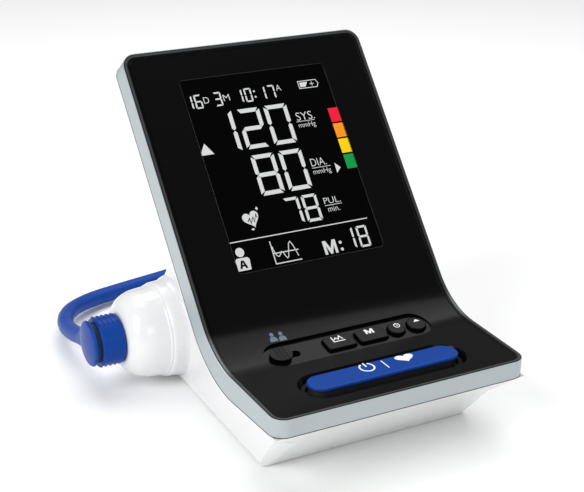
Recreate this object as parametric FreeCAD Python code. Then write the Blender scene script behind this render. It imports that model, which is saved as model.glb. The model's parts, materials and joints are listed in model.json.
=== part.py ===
import FreeCAD, Part
import math
import os

os.makedirs("parts", exist_ok=True)

# Upper-arm blood pressure monitor for a desk.
# X runs across the panel, Y runs from the front lip to the back, Z is up from the table.

# panel: a short deck, a concave fold and a raked screen
panel_width = 105.0
lip_height = 31.9
deck_slope = 4.05
deck_length = 34.3
fold_radius = 32.1
screen_slope = 51.76
screen_length = 108.85
panel_corner = 5.5

# silver frame, rim and black cover, as depths below the panel surface
rim_width = 2.4
rim_depth = 1.4
rim_lip = 0.35
rim_gap = 0.1
frame_top = 0.15
cover_top = 0.25
cover_bottom = 2.25
cover_gap = 0.3
frame_wall = 2.5
frame_depth = 9.0
frame_front_depth = 7.0
frame_ledge_bottom = 3.9

# controls, as distances along the panel from the lip
start_centre = 16.0
start_length = 62.6
start_width = 10.5
start_proud = 1.3
start_cap_bottom = 0.3
start_travel = 1.0
dish_length = 70.0
dish_width = 19.0
dish_depth = 2.5
strip_near = 33.5
strip_far = 46.9
strip_length = 71.0
strip_depth = 1.4
key_travel = 0.6
key_width = 7.2
key_gap = 0.35
switch_travel = 6.0
switch_rest = -29.0

# display, as distances along the screen from the end of the fold
lens_width = 64.0
lens_height = 80.5
lens_centre = 55.25

# white housing
housing_wall = 2.0
base_front = 26.6
hub_y = 113.1
hub_radius = 21.3
hub_fillet = 24.0
back_edge_radius = 3.0
back_top_y = 133.4
back_top_z = 124.0
depth_deep = 92.0
side_half = 45.3
side_taper = math.tan(math.radians(3.9))
flange_half = panel_width / 2 - 0.3
flange_bottom = 10.9
cove_end = 15.6

# air port on the left end of the hub
collar_end = 47.1
dome_nose = 62.9
dome_nose_radius = 10.4
socket_bore_radius = 4.08
nozzle_radius = 4.0
grip_near = 63.3
groove_near = 72.8
grip_far = 74.4
plug_travel = 17.0

# hose
hose_radius = 3.5
hose_bore = 2.0
coil_radius = 35.0
coil_turn_rise = 7.0

# battery bay: four AA cells side by side
cell_radius = 7.25
cell_length = 50.0
cell_pitch = 14.9
first_cell_y = 38.6
cell_z = 10.1
door_half = 31.5
door_hinge_y = 31.2
door_far_y = 92.0
door_low = 0.5
door_high = 2.4

# pump behind the bay
pump_y = 86.0
pump_z = 32.5
inner_tube_radius = 2.0
inner_tube_bore = 1.3
barb_radius = 1.25
barb_bore = 0.8

V = FreeCAD.Vector


def turned(angle):
    a = math.radians(angle)
    return V(0, math.cos(a), math.sin(a))


def outward(angle):
    a = math.radians(angle)
    return V(0, -math.sin(a), math.cos(a))


lip = V(0, 0, lip_height)
fold_start = lip + turned(deck_slope) * deck_length
fold_centre = fold_start + outward(deck_slope) * fold_radius
screen_start = fold_centre - outward(screen_slope) * fold_radius
screen_end = screen_start + turned(screen_slope) * screen_length


def around_fold(angle, radius):
    a = math.radians(angle)
    return fold_centre + V(0, math.cos(a), math.sin(a)) * radius


def panel_curve(depth, front_depth, start, end):
    # front, fold start, fold middle, fold end and top of a line kept below the panel
    front = lip + turned(deck_slope) * start - outward(deck_slope) * front_depth
    radius = fold_radius + depth
    to_front = front - fold_centre
    bearing = math.degrees(math.atan2(to_front.z, to_front.y))
    first = bearing + math.degrees(math.acos(radius / to_front.Length))
    last = screen_slope - 90
    top = screen_end - turned(screen_slope) * end - outward(screen_slope) * depth
    return [
        front,
        around_fold(first, radius),
        around_fold((first + last) / 2, radius),
        around_fold(last, radius),
        top,
    ]


def strip_wire(x, near, far, near_front, far_front, start, end):
    a = panel_curve(near, near_front, start, end)
    b = panel_curve(far, far_front, start, end)
    edges = [
        Part.LineSegment(a[0], a[1]).toShape(),
        Part.Arc(a[1], a[2], a[3]).toShape(),
        Part.LineSegment(a[3], a[4]).toShape(),
        Part.LineSegment(a[4], b[4]).toShape(),
        Part.LineSegment(b[4], b[3]).toShape(),
        Part.Arc(b[3], b[2], b[1]).toShape(),
        Part.LineSegment(b[1], b[0]).toShape(),
        Part.LineSegment(b[0], a[0]).toShape(),
    ]
    wire = Part.Wire(edges)
    wire.translate(V(x, 0, 0))
    return wire


def slab(half_width, near, far, start=0.0, end=0.0, corner=0.0, near_front=None, far_front=None):
    # a sheet that follows the panel between two depths
    near_front = near if near_front is None else near_front
    far_front = far if far_front is None else far_front
    wire = strip_wire(-half_width, near, far, near_front, far_front, start, end)
    solid = Part.Face(wire).extrude(V(2 * half_width, 0, 0))
    if corner > 0:
        solid = solid.makeFillet(corner, corner_edges(solid, half_width))
    return solid


def corner_edges(solid, half_width):
    found = []
    for edge in solid.Edges:
        if len(edge.Vertexes) != 2:
            continue
        p = edge.Vertexes[0].Point
        q = edge.Vertexes[1].Point
        across = q - p
        if abs(abs(p.x) - half_width) > 0.01 or abs(across.x) > 0.01:
            continue
        across.normalize()
        front = abs(across.dot(outward(deck_slope))) > 0.995 and p.y < 20
        top = abs(across.dot(outward(screen_slope))) > 0.999 and p.z > 90
        if front or top:
            found.append(edge)
    return found


def box(dx, dy, dz, centre):
    return Part.makeBox(dx, dy, dz, centre - V(dx / 2, dy / 2, dz / 2))


def rod(radius, start, end):
    return Part.makeCylinder(radius, (end - start).Length, start, end - start)


def pill(length, width, bottom, top):
    # a flat bar with round ends, lying along X
    r = width / 2
    h = length / 2 - r
    corners = [V(-h, -r, 0), V(h, -r, 0), V(h + r, 0, 0), V(h, r, 0), V(-h, r, 0), V(-h - r, 0, 0)]
    wire = Part.Wire([
        Part.LineSegment(corners[0], corners[1]).toShape(),
        Part.Arc(corners[1], corners[2], corners[3]).toShape(),
        Part.LineSegment(corners[3], corners[4]).toShape(),
        Part.Arc(corners[4], corners[5], corners[0]).toShape(),
    ])
    wire.translate(V(0, 0, bottom))
    return Part.Face(wire).extrude(V(0, 0, top - bottom))


def tapered_pill(length, width, low_length, low_width, bottom, top):
    upper = pill(length, width, top, top + 1).Faces
    lower = pill(low_length, low_width, bottom, bottom + 1).Faces
    upper_face = min(upper, key=lambda f: f.CenterOfMass.z)
    lower_face = min(lower, key=lambda f: f.CenterOfMass.z)
    return Part.makeLoft([lower_face.OuterWire, upper_face.OuterWire], True, True)


def rounded_block(dx, dy, bottom, top, corner):
    block = Part.makeBox(dx, dy, top - bottom, V(-dx / 2, -dy / 2, bottom))
    upright = [e for e in block.Edges if abs(e.Vertexes[0].Z - e.Vertexes[1].Z) > 0.01]
    return block.makeFillet(corner, upright)


def revolved(profile, axis_point, axis):
    # turns a closed outline of (position along the axis, radius) about that axis
    points = [V(a, r, 0) for a, r in profile]
    points.append(points[0])
    solid = Part.Face(Part.makePolygon(points)).revolve(V(0, 0, 0), V(1, 0, 0), 360)
    solid.Placement = FreeCAD.Placement(axis_point, FreeCAD.Rotation(V(1, 0, 0), axis))
    return solid


def placed(shape, point, tilt):
    copy = shape.copy()
    copy.Placement = FreeCAD.Placement(point, FreeCAD.Rotation(V(1, 0, 0), tilt)).multiply(copy.Placement)
    return copy


def on_deck(shape, along, depth=0.0, x=0.0):
    point = lip + turned(deck_slope) * along - outward(deck_slope) * depth + V(x, 0, 0)
    return placed(shape, point, deck_slope)


def on_screen(shape, along, depth=0.0, x=0.0):
    point = screen_start + turned(screen_slope) * along - outward(screen_slope) * depth + V(x, 0, 0)
    return placed(shape, point, screen_slope)


def panel_point(along):
    if along <= deck_length:
        return lip + turned(deck_slope) * along
    angle = deck_slope + math.degrees((along - deck_length) / fold_radius)
    return fold_centre - outward(angle) * fold_radius


strip_a = panel_point(strip_near)
strip_b = panel_point(strip_far)
strip_slope = math.degrees(math.atan2(strip_b.z - strip_a.z, strip_b.y - strip_a.y))
strip_middle = (strip_a + strip_b) * 0.5


def on_strip(shape, x=0.0):
    return placed(shape, strip_middle + V(x, 0, 0), strip_slope)


# ---- rim, silver frame and black cover ----

trim_ring = slab(panel_width / 2 - rim_lip, 0, rim_depth, rim_lip, rim_lip, panel_corner - rim_lip)
rim_inside = slab(panel_width / 2 - rim_width, -3, 4, rim_width, rim_width, panel_corner - rim_width)
trim_ring = trim_ring.cut(rim_inside)

bezel_frame = slab(panel_width / 2, frame_top, frame_depth, corner=panel_corner, far_front=frame_front_depth)
inside = panel_width / 2 - frame_wall
seat_start = rim_lip - rim_gap
bezel_frame = bezel_frame.cut(
    slab(panel_width / 2 - seat_start, -1, rim_depth, seat_start, seat_start, panel_corner - seat_start))
bezel_frame = bezel_frame.cut(slab(panel_width / 2 - rim_width, -1, cover_bottom, rim_width, rim_width,
                                   panel_corner - rim_width))
bezel_frame = bezel_frame.cut(slab(inside, frame_ledge_bottom, 14, frame_wall, frame_wall, 3.0))
bezel_frame = bezel_frame.cut(slab(46.0, -1, 14, 4.2, 4.5, 2.0))

cover_start = rim_width + cover_gap
front_cover = slab(panel_width / 2 - cover_start, cover_top, cover_bottom, cover_start, cover_start,
                   panel_corner - cover_start)
dish_wall = 1.3
front_cover = front_cover.fuse(on_deck(
    pill(dish_length + 2 * dish_wall, dish_width + 2 * dish_wall, -dish_depth - 1.6, -1.0), start_centre))
front_cover = front_cover.fuse(on_strip(
    pill(strip_length + 2.4, 15.8, -strip_depth - 1.2, -strip_depth + 0.2)))
front_cover = front_cover.cut(on_deck(
    tapered_pill(dish_length, dish_width, dish_length - 4, dish_width - 4, -dish_depth, 0.6), start_centre))
front_cover = front_cover.cut(on_deck(
    pill(start_length + 2 * key_gap, start_width + 2 * key_gap, -9, 3), start_centre))
front_cover = front_cover.cut(on_strip(pill(strip_length, strip_far - strip_near, -strip_depth, 4)))

window = rounded_block(lens_width - 3, lens_height - 3, -6, 3, 1.5)
lens_seat = rounded_block(lens_width + 0.3, lens_height + 0.3, -1.65, 3, 1.6)
front_cover = front_cover.cut(on_screen(window, lens_centre)).cut(on_screen(lens_seat, lens_centre))

display_lens = on_screen(rounded_block(lens_width, lens_height, -1.6, -0.35, 1.5), lens_centre)

# ---- keys, all guided by holes in the cover ----

# the start bar is a thin blue cap on a black carrier that its shadow gap shows
start_button = pill(start_length, start_width, start_cap_bottom, start_proud)
top_edges = [e for e in start_button.Edges if e.BoundBox.ZMin > start_proud - 0.01]
start_button = on_deck(start_button.makeFillet(0.8, top_edges), start_centre)
start_carrier = pill(start_length - 1.4, start_width - 1.4, -4.7, start_cap_bottom)
start_carrier = start_carrier.fuse(pill(start_length + 4, start_width + 3.4, -5.6, -4.55))
start_carrier = on_deck(start_carrier, start_centre)

board_depth = 10.5
switch_height = 3.5


def stem_end(reach):
    # height, in the strip's own frame, at which a key's stem stops above its tact switch
    origin_depth = -(strip_middle - lip).dot(outward(deck_slope))
    lean = math.cos(math.radians(strip_slope - deck_slope))
    return -(board_depth - switch_height - reach - origin_depth) / lean


stem_bottom = stem_end(key_travel + 0.7)


def key(outline, flange):
    stem = Part.makeCylinder(1.6, -stem_bottom - 3, V(0, 0, stem_bottom))
    return outline.fuse(flange).fuse(stem)


def long_key(width):
    cap = rounded_block(width, key_width, -4.0, -0.2, 1.6)
    cap = cap.makeFillet(0.5, [e for e in cap.Edges if e.BoundBox.ZMin > -0.21])
    return key(cap, rounded_block(width, key_width + 2.0, -4.2, -3.2, 1.0))


def round_key(diameter):
    cap = Part.makeCylinder(diameter / 2, 3.9, V(0, 0, -4.0))
    cap = cap.makeFillet(0.5, [e for e in cap.Edges if e.BoundBox.ZMin > -0.11])
    flange = rounded_block(diameter - 1, diameter + 2.2, -4.2, -3.2, 1.0)
    return key(cap, flange)


keys = {
    "graph_button": (-4.2, 12.4),
    "memory_button": (9.6, 12.4),
    "clock_button": (20.8, 7.0),
    "alarm_button": (29.8, 7.6),
}
key_shapes = {}
for name, (x, width) in keys.items():
    if width > 10:
        key_shapes[name] = on_strip(long_key(width), x)
        hole = rounded_block(width + 2 * key_gap, key_width + 2 * key_gap, -9, 3, 1.9)
    else:
        key_shapes[name] = on_strip(round_key(width), x)
        hole = Part.makeCylinder(width / 2 + key_gap, 12, V(0, 0, -9))
    front_cover = front_cover.cut(on_strip(hole, x))

# the user switch slides to the right in a slot at the left end of the strip
slot_centre = switch_rest + switch_travel / 2
front_cover = front_cover.cut(on_strip(pill(switch_travel + 4.4, 3.4, -9, 3), slot_centre))
knob = pill(8.6, 7.6, -1.05, 0.25)
for step in (-1.6, 0.0, 1.6):
    knob = knob.cut(box(0.6, 12, 0.8, V(step, 0, 0.45)))
knob = knob.fuse(pill(3.4, 2.7, -4.4, -0.9))
knob = knob.fuse(rounded_block(7.0, 6.4, -4.25, -3.35, 0.8))
knob = knob.fuse(Part.makeCylinder(0.9, 5.0, V(0, 0, -7.0)))
user_switch = on_strip(knob, switch_rest)

# ---- boards under the keys and behind the screen ----

key_board = rounded_block(72, 42.5, -board_depth - 1.6, -board_depth, 1.5)
key_board = on_deck(key_board, 32.75)
key_posts = [(-26, 29.5), (26, 29.5), (-30, 51.0), (30, 51.0)]
for x, along in key_posts:
    top = 3.2 if along > 40 else -1.6
    post = Part.makeCylinder(2.2, board_depth + top, V(0, 0, -board_depth))
    pilot = Part.makeCylinder(1.0, 5.0, V(0, 0, -board_depth - 0.1))
    front_cover = front_cover.fuse(on_deck(post, along, 0, x)).cut(on_deck(pilot, along, 0, x))
    key_board = key_board.cut(on_deck(Part.makeCylinder(1.2, 4, V(0, 0, -board_depth - 3)), along, 0, x))


def switch_spot(x):
    end = strip_middle + outward(strip_slope) * stem_bottom
    return x, (end - lip).dot(turned(deck_slope))


spots = [(0.0, start_centre)]
for name, (x, width) in keys.items():
    spots.append(switch_spot(x))
tact = []
for x, along in spots:
    body = rounded_block(6, 6, -board_depth, -board_depth + 2.5, 0.4)
    plunger = Part.makeCylinder(1.7, 1.1, V(0, 0, -board_depth + 2.4))
    tact.append(on_deck(body.fuse(plunger), along, 0, x))
tact_switches = Part.makeCompound(tact)

slide_x, slide_along = switch_spot(slot_centre)
slide_switch = rounded_block(16, 7, -board_depth, -board_depth + 2.6, 0.4)
slide_switch = slide_switch.cut(pill(switch_travel + 4, 2.6, -board_depth + 1.2, 0))
slide_switch = on_deck(slide_switch, slide_along, 0, slide_x)

lcd_panel = on_screen(rounded_block(66, 84, -4.9, -2.9, 0.5), lens_centre)
lcd_backlight = on_screen(rounded_block(66, 84, -8.1, -4.95, 0.5), lens_centre)
lcd_holder = rounded_block(72, 88, -9.6, -2.6, 2.0).cut(rounded_block(66.4, 84.4, -8.15, 1, 0.6))
standoffs = [(-32, -38), (32, -38), (-32, 30), (32, 30)]
for x, y in standoffs:
    lcd_holder = lcd_holder.fuse(Part.makeCylinder(3.0, 2.0, V(x, y, -11.0)))
    lcd_holder = lcd_holder.cut(Part.makeCylinder(1.0, 2.4, V(x, y, -11.0)))
for x in (-38.5, 38.5):
    lcd_holder = lcd_holder.fuse(rounded_block(10, 8, -6.4, -2.6, 1.0).translated(V(x, 0, 0)))
lcd_holder = on_screen(lcd_holder, lens_centre)

board_top = 11.05
main_board = rounded_block(70, 80, -board_top - 1.6, -board_top, 1.5)
for x, y in standoffs:
    main_board = main_board.cut(Part.makeCylinder(1.2, 4, V(x, y + 4, -board_top - 2)))
chips = [(0, 6, 12, 12), (-20, 10, 8, 5), (18, 12, 6, 5), (22, -6, 9, 4), (-24, -12, 5, 7)]
for x, y, dx, dy in chips:
    main_board = main_board.fuse(box(dx, dy, 1.6, V(x, y, -board_top - 2.3)))
main_board = on_screen(main_board, lens_centre - 4)


def small_screw(head_depth):
    shank = Part.makeCylinder(0.9, 3.6, V(0, 0, -head_depth - 0.1))
    return shank.fuse(Part.makeCylinder(1.9, 1.2, V(0, 0, -head_depth - 1.2)))


board_screws = []
for x, y in standoffs:
    board_screws.append(on_screen(small_screw(board_top + 1.6), lens_centre + y, 0, x))
for x, along in key_posts:
    board_screws.append(on_deck(small_screw(board_depth + 1.6), along, 0, x))
board_screws = Part.makeCompound(board_screws)

sensor_body = rounded_block(8, 8, -board_top - 5.2, -board_top - 1.6, 0.6)
sensor_body = sensor_body.fuse(Part.makeCylinder(barb_radius, 5.0, V(0, 0, -board_top - 9.6)))
sensor_along = 36.0
sensor_x = -15.0
pressure_sensor = on_screen(sensor_body, sensor_along, 0, sensor_x)
buzzer = on_screen(Part.makeCylinder(6.0, 3.6, V(0, 0, -board_top - 5.2)), 34.0, 0, 25.0)

# ---- white housing ----


def side_profile(inset):
    # outline of the housing seen from the side, closed above the panel
    rake = V(0, base_front - 0.9, -(lip_height - frame_front_depth))
    rake.normalize()
    inner = V(0, -rake.z, rake.y) * inset
    front_top = V(0, 0.75, lip_height - frame_front_depth) + inner - rake * 9
    low = inset
    front_low = V(0, base_front, 0) + inner
    front_low = front_low + rake * ((low - front_low.z) / rake.z)
    radius = hub_radius - inset
    hub = V(0, hub_y, hub_radius)
    back_top = V(0, back_top_y, back_top_z)
    back_foot = V(0, hub_y - 2.0, hub_radius * 2 - 0.1)
    lean = back_top - back_foot
    lean.normalize()
    back_in = V(0, -lean.z, lean.y) * inset
    foot = back_foot + back_in
    to_hub = hub - foot
    closest = to_hub.dot(lean)
    offset = (foot + lean * closest - hub).Length
    foot = foot + lean * (closest + math.sqrt(radius * radius - offset * offset))
    top = back_top + back_in + lean * 30
    swing = math.atan2(foot.z - hub.z, foot.y - hub.y)
    mid = (swing - math.pi / 2) / 2
    return [
        Part.LineSegment(front_top, front_low).toShape(),
        Part.LineSegment(front_low, V(0, hub_y, low)).toShape(),
        Part.Arc(V(0, hub_y, low), hub + V(0, math.cos(mid), math.sin(mid)) * radius, foot).toShape(),
        Part.LineSegment(foot, top).toShape(),
        Part.LineSegment(top, V(0, -20, top.z)).toShape(),
        Part.LineSegment(V(0, -20, top.z), V(0, -20, front_top.z)).toShape(),
        Part.LineSegment(V(0, -20, front_top.z), front_top).toShape(),
    ]


def side_prism(inset):
    face = Part.Face(Part.Wire(side_profile(inset)))
    face.translate(V(-70, 0, 0))
    return face.extrude(V(140, 0, 0))


def side_section(share, depth, inset=0.0, lift=0.0):
    # section in a plane that leans from the flange's edge (share 0) to the side wall (share 1)
    far_front = depth - 2.0 if depth < 20 else depth
    near = frame_depth + 0.3 - lift
    wire = strip_wire(0, near, depth, frame_front_depth + 0.3 - lift, far_front, 0.3, 0.3)
    wall_at_zero = side_half + side_taper * base_front - inset
    lean = FreeCAD.Matrix()
    lean.A12 = -side_taper * share
    lean.A14 = flange_half + (wall_at_zero - flange_half) * share
    return wire.transformGeometry(lean)


def mirrored(shape):
    return shape.mirror(V(0, 0, 0), V(1, 0, 0))


def both_sides(right):
    return [right, mirrored(right)]


def block(inset, lift=0.0):
    # everything behind the frame between the two side walls
    near = frame_depth + 0.3 - lift
    near_front = frame_front_depth + 0.3 - lift
    core = slab(30.0, near, depth_deep, 0.3, 0.3, 0, near_front, depth_deep)
    core_side = strip_wire(30.0, near, depth_deep, near_front, depth_deep, 0.3, 0.3)
    wall = Part.makeLoft([core_side, side_section(1.0, depth_deep, inset, lift)], True, True)
    return core.fuse(both_sides(wall))


def rounded_outline(z, half, front, corner):
    cut = corner * (1 - math.sqrt(0.5))
    p = [V(-half, 60, z), V(-half, front + corner, z), V(-half + corner, front, z)]
    q = [V(half - corner, front, z), V(half, front + corner, z), V(half, 60, z)]
    return Part.Wire([
        Part.LineSegment(p[0], p[1]).toShape(),
        Part.Arc(p[1], V(-half + cut, front + cut, z), p[2]).toShape(),
        Part.LineSegment(p[2], q[0]).toShape(),
        Part.Arc(q[0], V(half - cut, front + cut, z), q[1]).toShape(),
        Part.LineSegment(q[1], q[2]).toShape(),
        Part.LineSegment(q[2], p[0]).toShape(),
    ])


def rake_front(z):
    top = lip_height - frame_front_depth
    return 0.9 + (base_front - 0.9) * (top - z) / top


def edges_between(shape, test):
    found = []
    for edge in shape.Edges:
        if len(edge.Vertexes) == 2 and test(edge.Vertexes[0].Point, edge.Vertexes[1].Point):
            found.append(edge)
    return found


cove = []
cove_steps = 6
for i in range(cove_steps + 1):
    a = math.radians(90.0 * i / cove_steps)
    depth = flange_bottom + (cove_end - flange_bottom) * (1 - math.cos(a))
    cove.append(side_section(math.sin(a), depth))
cove_right = Part.makeLoft(cove, True, True)
rear_housing = block(0).fuse(both_sides(cove_right)).common(side_prism(0))

foot_y = hub_y - 2.0
foot_z = hub_radius * 2 - 0.1
crease = edges_between(rear_housing, lambda p, q: abs(p.y - foot_y) < 2 and abs(p.z - foot_z) < 2
                       and abs(q.y - foot_y) < 2 and abs(q.z - foot_z) < 2 and abs(p.x - q.x) > 3)
rear_housing = rear_housing.makeFillet(hub_fillet, crease)

# corner rounding that eases from the frame's corners to the foot
levels = [(24.6, 52.2, 5.2), (21.0, 52.2, 5.6), (19.5, 49.6, 7.0), (17.5, 47.6, 8.5),
          (14.0, 46.9, 8.0), (5.0, 46.6, 6.0), (-1.0, 46.4, 5.0)]
tower = Part.makeLoft([rounded_outline(z, w, rake_front(z), r) for z, w, r in levels], True, True)
rear_housing = rear_housing.cut(Part.makeBox(130, 40, 25.6, V(-65, -12, -1)).cut(tower))
top_zone = Part.makeBox(130, 30, 60, V(-65, screen_length - 14, -64))
top_keep = rounded_block(2 * flange_half, 60, -70, 5, 5.2).translated(V(0, screen_length - 30.3, 0))
rear_housing = rear_housing.cut(on_screen(top_zone.cut(top_keep), 0))
back_edges = edges_between(rear_housing, lambda p, q: p.x * q.x > 1200 and (q - p).Length > 30
                           and p.y > 100 and q.y > 100)
rear_housing = rear_housing.makeFillet(back_edge_radius, back_edges)

cavity = block(housing_wall, 2.5).common(side_prism(housing_wall))
rear_housing = rear_housing.cut(cavity)

# ribs that carry the release valve
for y in (106.5, 113.5):
    rear_housing = rear_housing.fuse(box(12, 1.6, 15, V(15, y, 8.9)))

# battery opening, hinge lugs and screw posts
door_gap = 0.35
opening_low = door_hinge_y - (door_high - door_low) / 2 - door_gap
opening = Part.makeBox(2 * (door_half + door_gap), door_far_y + door_gap - opening_low, 4,
                       V(-door_half - door_gap, opening_low, -1))
hinge_z = (door_low + door_high) / 2
pin_reach = 1.6
for side in (-1, 1):
    lug = box(4.4, 5.0, 3.4, V(side * (door_half + door_gap + 2.2), door_hinge_y, 1.7))
    rear_housing = rear_housing.fuse(lug)
rear_housing = rear_housing.cut(opening)
for side in (-1, 1):
    start = V(side * door_half, door_hinge_y, hinge_z)
    rear_housing = rear_housing.cut(rod(0.86, start, start + V(side * (pin_reach + 0.6), 0, 0)))

screw_x = 32.0
screw_along = 103.0
for side in (-1, 1):
    post = Part.makeCylinder(3.6, 3.6, V(0, 0, -12.8))
    rear_housing = rear_housing.fuse(on_screen(post, screw_along, 0, side * screw_x))
    rear_housing = rear_housing.cut(on_screen(Part.makeCylinder(2.8, 12, V(0, 0, -22.8)), screw_along, 0,
                                              side * screw_x))
    rear_housing = rear_housing.cut(on_screen(Part.makeCylinder(1.5, 5, V(0, 0, -13)), screw_along, 0,
                                              side * screw_x))
    frame_post = Part.makeCylinder(2.6, 6.9, V(0, 0, -9.2)).cut(Part.makeCylinder(1.3, 6, V(0, 0, -9.5)))
    bezel_frame = bezel_frame.fuse(on_screen(frame_post, screw_along, 0, side * screw_x))

low_screw_y = 36.0
low_screw_x = 40.0
low_post_top = 24.4
for side in (-1, 1):
    foot = V(side * low_screw_x, low_screw_y, 0)
    rear_housing = rear_housing.fuse(rod(3.2, foot, foot + V(0, 0, low_post_top)))
    rear_housing = rear_housing.cut(rod(2.8, foot - V(0, 0, 1), foot + V(0, 0, 12)))
    rear_housing = rear_housing.cut(rod(1.5, foot, foot + V(0, 0, 30)))
    lug = box(9.0, 8, 5.4, V(side * 44.4, low_screw_y, low_post_top + 4.4))
    lug = lug.fuse(rod(2.3, foot + V(0, 0, low_post_top + 0.3), foot + V(0, 0, low_post_top + 2)))
    lug = lug.cut(rod(1.3, foot, foot + V(0, 0, 50)))
    bezel_frame = bezel_frame.fuse(lug)


def case_screw(length):
    shank = Part.makeCylinder(1.25, length, V(0, 0, -0.1))
    return shank.fuse(Part.makeCylinder(2.5, 1.6, V(0, 0, -1.6)))


case_screws = []
for side in (-1, 1):
    case_screws.append(on_screen(case_screw(6.6), screw_along, 10.8, side * screw_x))
    case_screws.append(case_screw(16.0).translated(V(side * low_screw_x, low_screw_y, 12.0)))
case_screws = Part.makeCompound(case_screws)

# ---- air port on the left end of the hub ----

hub_point = V(0, hub_y, hub_radius)
to_left = V(-1, 0, 0)
collar = revolved([(36.5, 16.5), (36.5, 20.9), (38.6, 20.9), (39.6, 20.5), (40.6, 19.9), (42.0, 19.5),
                   (45.6, 19.3), (46.4, 19.1), (46.9, 18.7), (collar_end, 18.2), (collar_end, 16.5)],
                  hub_point, to_left)
rear_housing = rear_housing.fuse(collar)
rear_housing = rear_housing.cut(rod(16.5, hub_point - V(34, 0, 0), hub_point - V(50, 0, 0)))


def turned_part(curve, straight):
    # a round part whose outside is a smooth curve and whose inside is straight lines
    spline = Part.BSplineCurve()
    spline.interpolate([V(a, r, 0) for a, r in curve])
    path = [V(a, r, 0) for a, r in [curve[-1]] + straight + [curve[0]]]
    edges = [spline.toShape()]
    for p, q in zip(path[:-1], path[1:]):
        edges.append(Part.LineSegment(p, q).toShape())
    solid = Part.Face(Part.Wire(edges)).revolve(V(0, 0, 0), V(1, 0, 0), 360)
    solid.Placement = FreeCAD.Placement(hub_point, FreeCAD.Rotation(V(1, 0, 0), to_left))
    return solid


bell = [(47.4, 18.3), (51.0, 18.0), (54.5, 17.6), (57.4, 16.7), (59.7, 15.4), (61.5, 13.6), (62.5, 12.1),
        (dome_nose, dome_nose_radius)]
port_dome = turned_part(bell, [(dome_nose, 6.5), (60.8, 6.5), (60.8, 10.8), (59.0, 12.4), (56.5, 14.2),
                               (53.0, 15.2), (40.0, 15.2), (40.0, 16.4), (47.4, 16.4)])

port_socket = revolved([(30.0, barb_bore), (30.0, barb_radius), (36.0, barb_radius), (36.0, 9.0),
                        (37.1, 9.0), (37.1, 6.4), (58.6, 6.4), (58.6, 9.0), (60.7, 9.0), (60.7, 6.4),
                        (62.6, 6.4), (62.6, socket_bore_radius), (57.0, socket_bore_radius), (57.0, 5.2),
                        (55.6, 5.2), (55.6, socket_bore_radius), (47.0, socket_bore_radius),
                        (47.0, barb_bore)], hub_point, to_left)
port_seal = Part.makeTorus(4.63, 0.55, V(-56.3, hub_y, hub_radius), V(1, 0, 0))
socket_plate = revolved([(37.2, 6.42), (37.2, 16.4), (39.8, 16.4), (39.8, 6.42)], hub_point, to_left)

# ---- plug that pushes into the port ----

plug_nozzle = revolved([(48.6, 1.8), (48.6, 3.4), (49.4, nozzle_radius), (65.0, nozzle_radius),
                        (65.0, 1.8)], hub_point, to_left)
plug_grip = revolved([(65.05, 0), (65.05, 4.05), (grip_near, 4.05), (grip_near, 9.7), (63.6, 10.0),
                      (groove_near - 0.4, 9.8), (groove_near, 9.4), (groove_near, 7.6), (grip_far, 7.6),
                      (grip_far, 0)], hub_point, to_left)
stub_x = -68.3
stub_foot = V(stub_x, hub_y, hub_radius - 1.0)
hose_first = V(-69.4, 150.9, 9.4)
stub_way = hose_first - stub_foot
stub_way.normalize()
stub_end = 12.6
plug_grip = plug_grip.fuse(rod(4.3, stub_foot + stub_way * 7, stub_foot + stub_way * stub_end))
plug_grip = plug_grip.fuse(rod(hose_bore - 0.02, stub_foot + stub_way * 7,
                               stub_foot + stub_way * (stub_end + 8)))
plug_grip = plug_grip.cut(rod(1.4, stub_foot, stub_foot + stub_way * (stub_end + 9)))
plug_grip = plug_grip.cut(rod(1.4, hub_point - V(60, 0, 0), stub_foot))
cap_foot = grip_far + 0.05
cap_curve = [(cap_foot, 8.6), (cap_foot + 0.25, 9.05), (cap_foot + 0.7, 9.25), (cap_foot + 1.2, 8.95),
             (cap_foot + 1.6, 7.9), (cap_foot + 1.95, 5.4), (cap_foot + 2.15, 2.6), (cap_foot + 2.2, 0)]
plug_cap = turned_part(cap_curve, [(cap_foot, 0)])
plug_ring = Part.makeTorus(3.41, 0.57, V(-51.4, hub_y, hub_radius), V(1, 0, 0))
ring_groove = revolved([(50.8, 2.83), (50.8, 5), (52.0, 5), (52.0, 2.83)], hub_point, to_left)
plug_nozzle = plug_nozzle.cut(ring_groove)

# ---- hose ----


def route_wire(points):
    # straight runs joined by tangent arcs, each as wide as its shorter run allows
    edges = []
    radii = []
    here = points[0]
    for before, corner, after in zip(points[:-2], points[1:-1], points[2:]):
        back = before - corner
        ahead = after - corner
        shorter = min(back.Length, ahead.Length)
        back.normalize()
        ahead.normalize()
        half_turn = (math.pi - back.getAngle(ahead)) / 2
        reach = 0.45 * shorter
        radius = reach / math.tan(half_turn)
        radii.append(round(radius, 1))
        inward = back + ahead
        inward.normalize()
        middle = corner + inward * (radius / math.cos(half_turn) - radius)
        first = corner + back * reach
        last = corner + ahead * reach
        edges.append(Part.LineSegment(here, first).toShape())
        edges.append(Part.Arc(first, middle, last).toShape())
        here = last
    edges.append(Part.LineSegment(here, points[-1]).toShape())
    return Part.Wire(edges), radii


def tube(points, radius, bore):
    wire, radii = route_wire(points)
    way = points[1] - points[0]
    solids = []
    for r in (radius, bore):
        ring = Part.Wire([Part.Circle(points[0], way, r).toShape()])
        solids.append(wire.makePipeShell([ring], True, True))
    solid = solids[0].cut(solids[1])
    section = math.pi * (radius * radius - bore * bore)
    print("tube", "radii", radii, "length", round(wire.Length, 1),
          "volume share", round(solid.Volume / (section * wire.Length), 4))
    return solid


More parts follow.
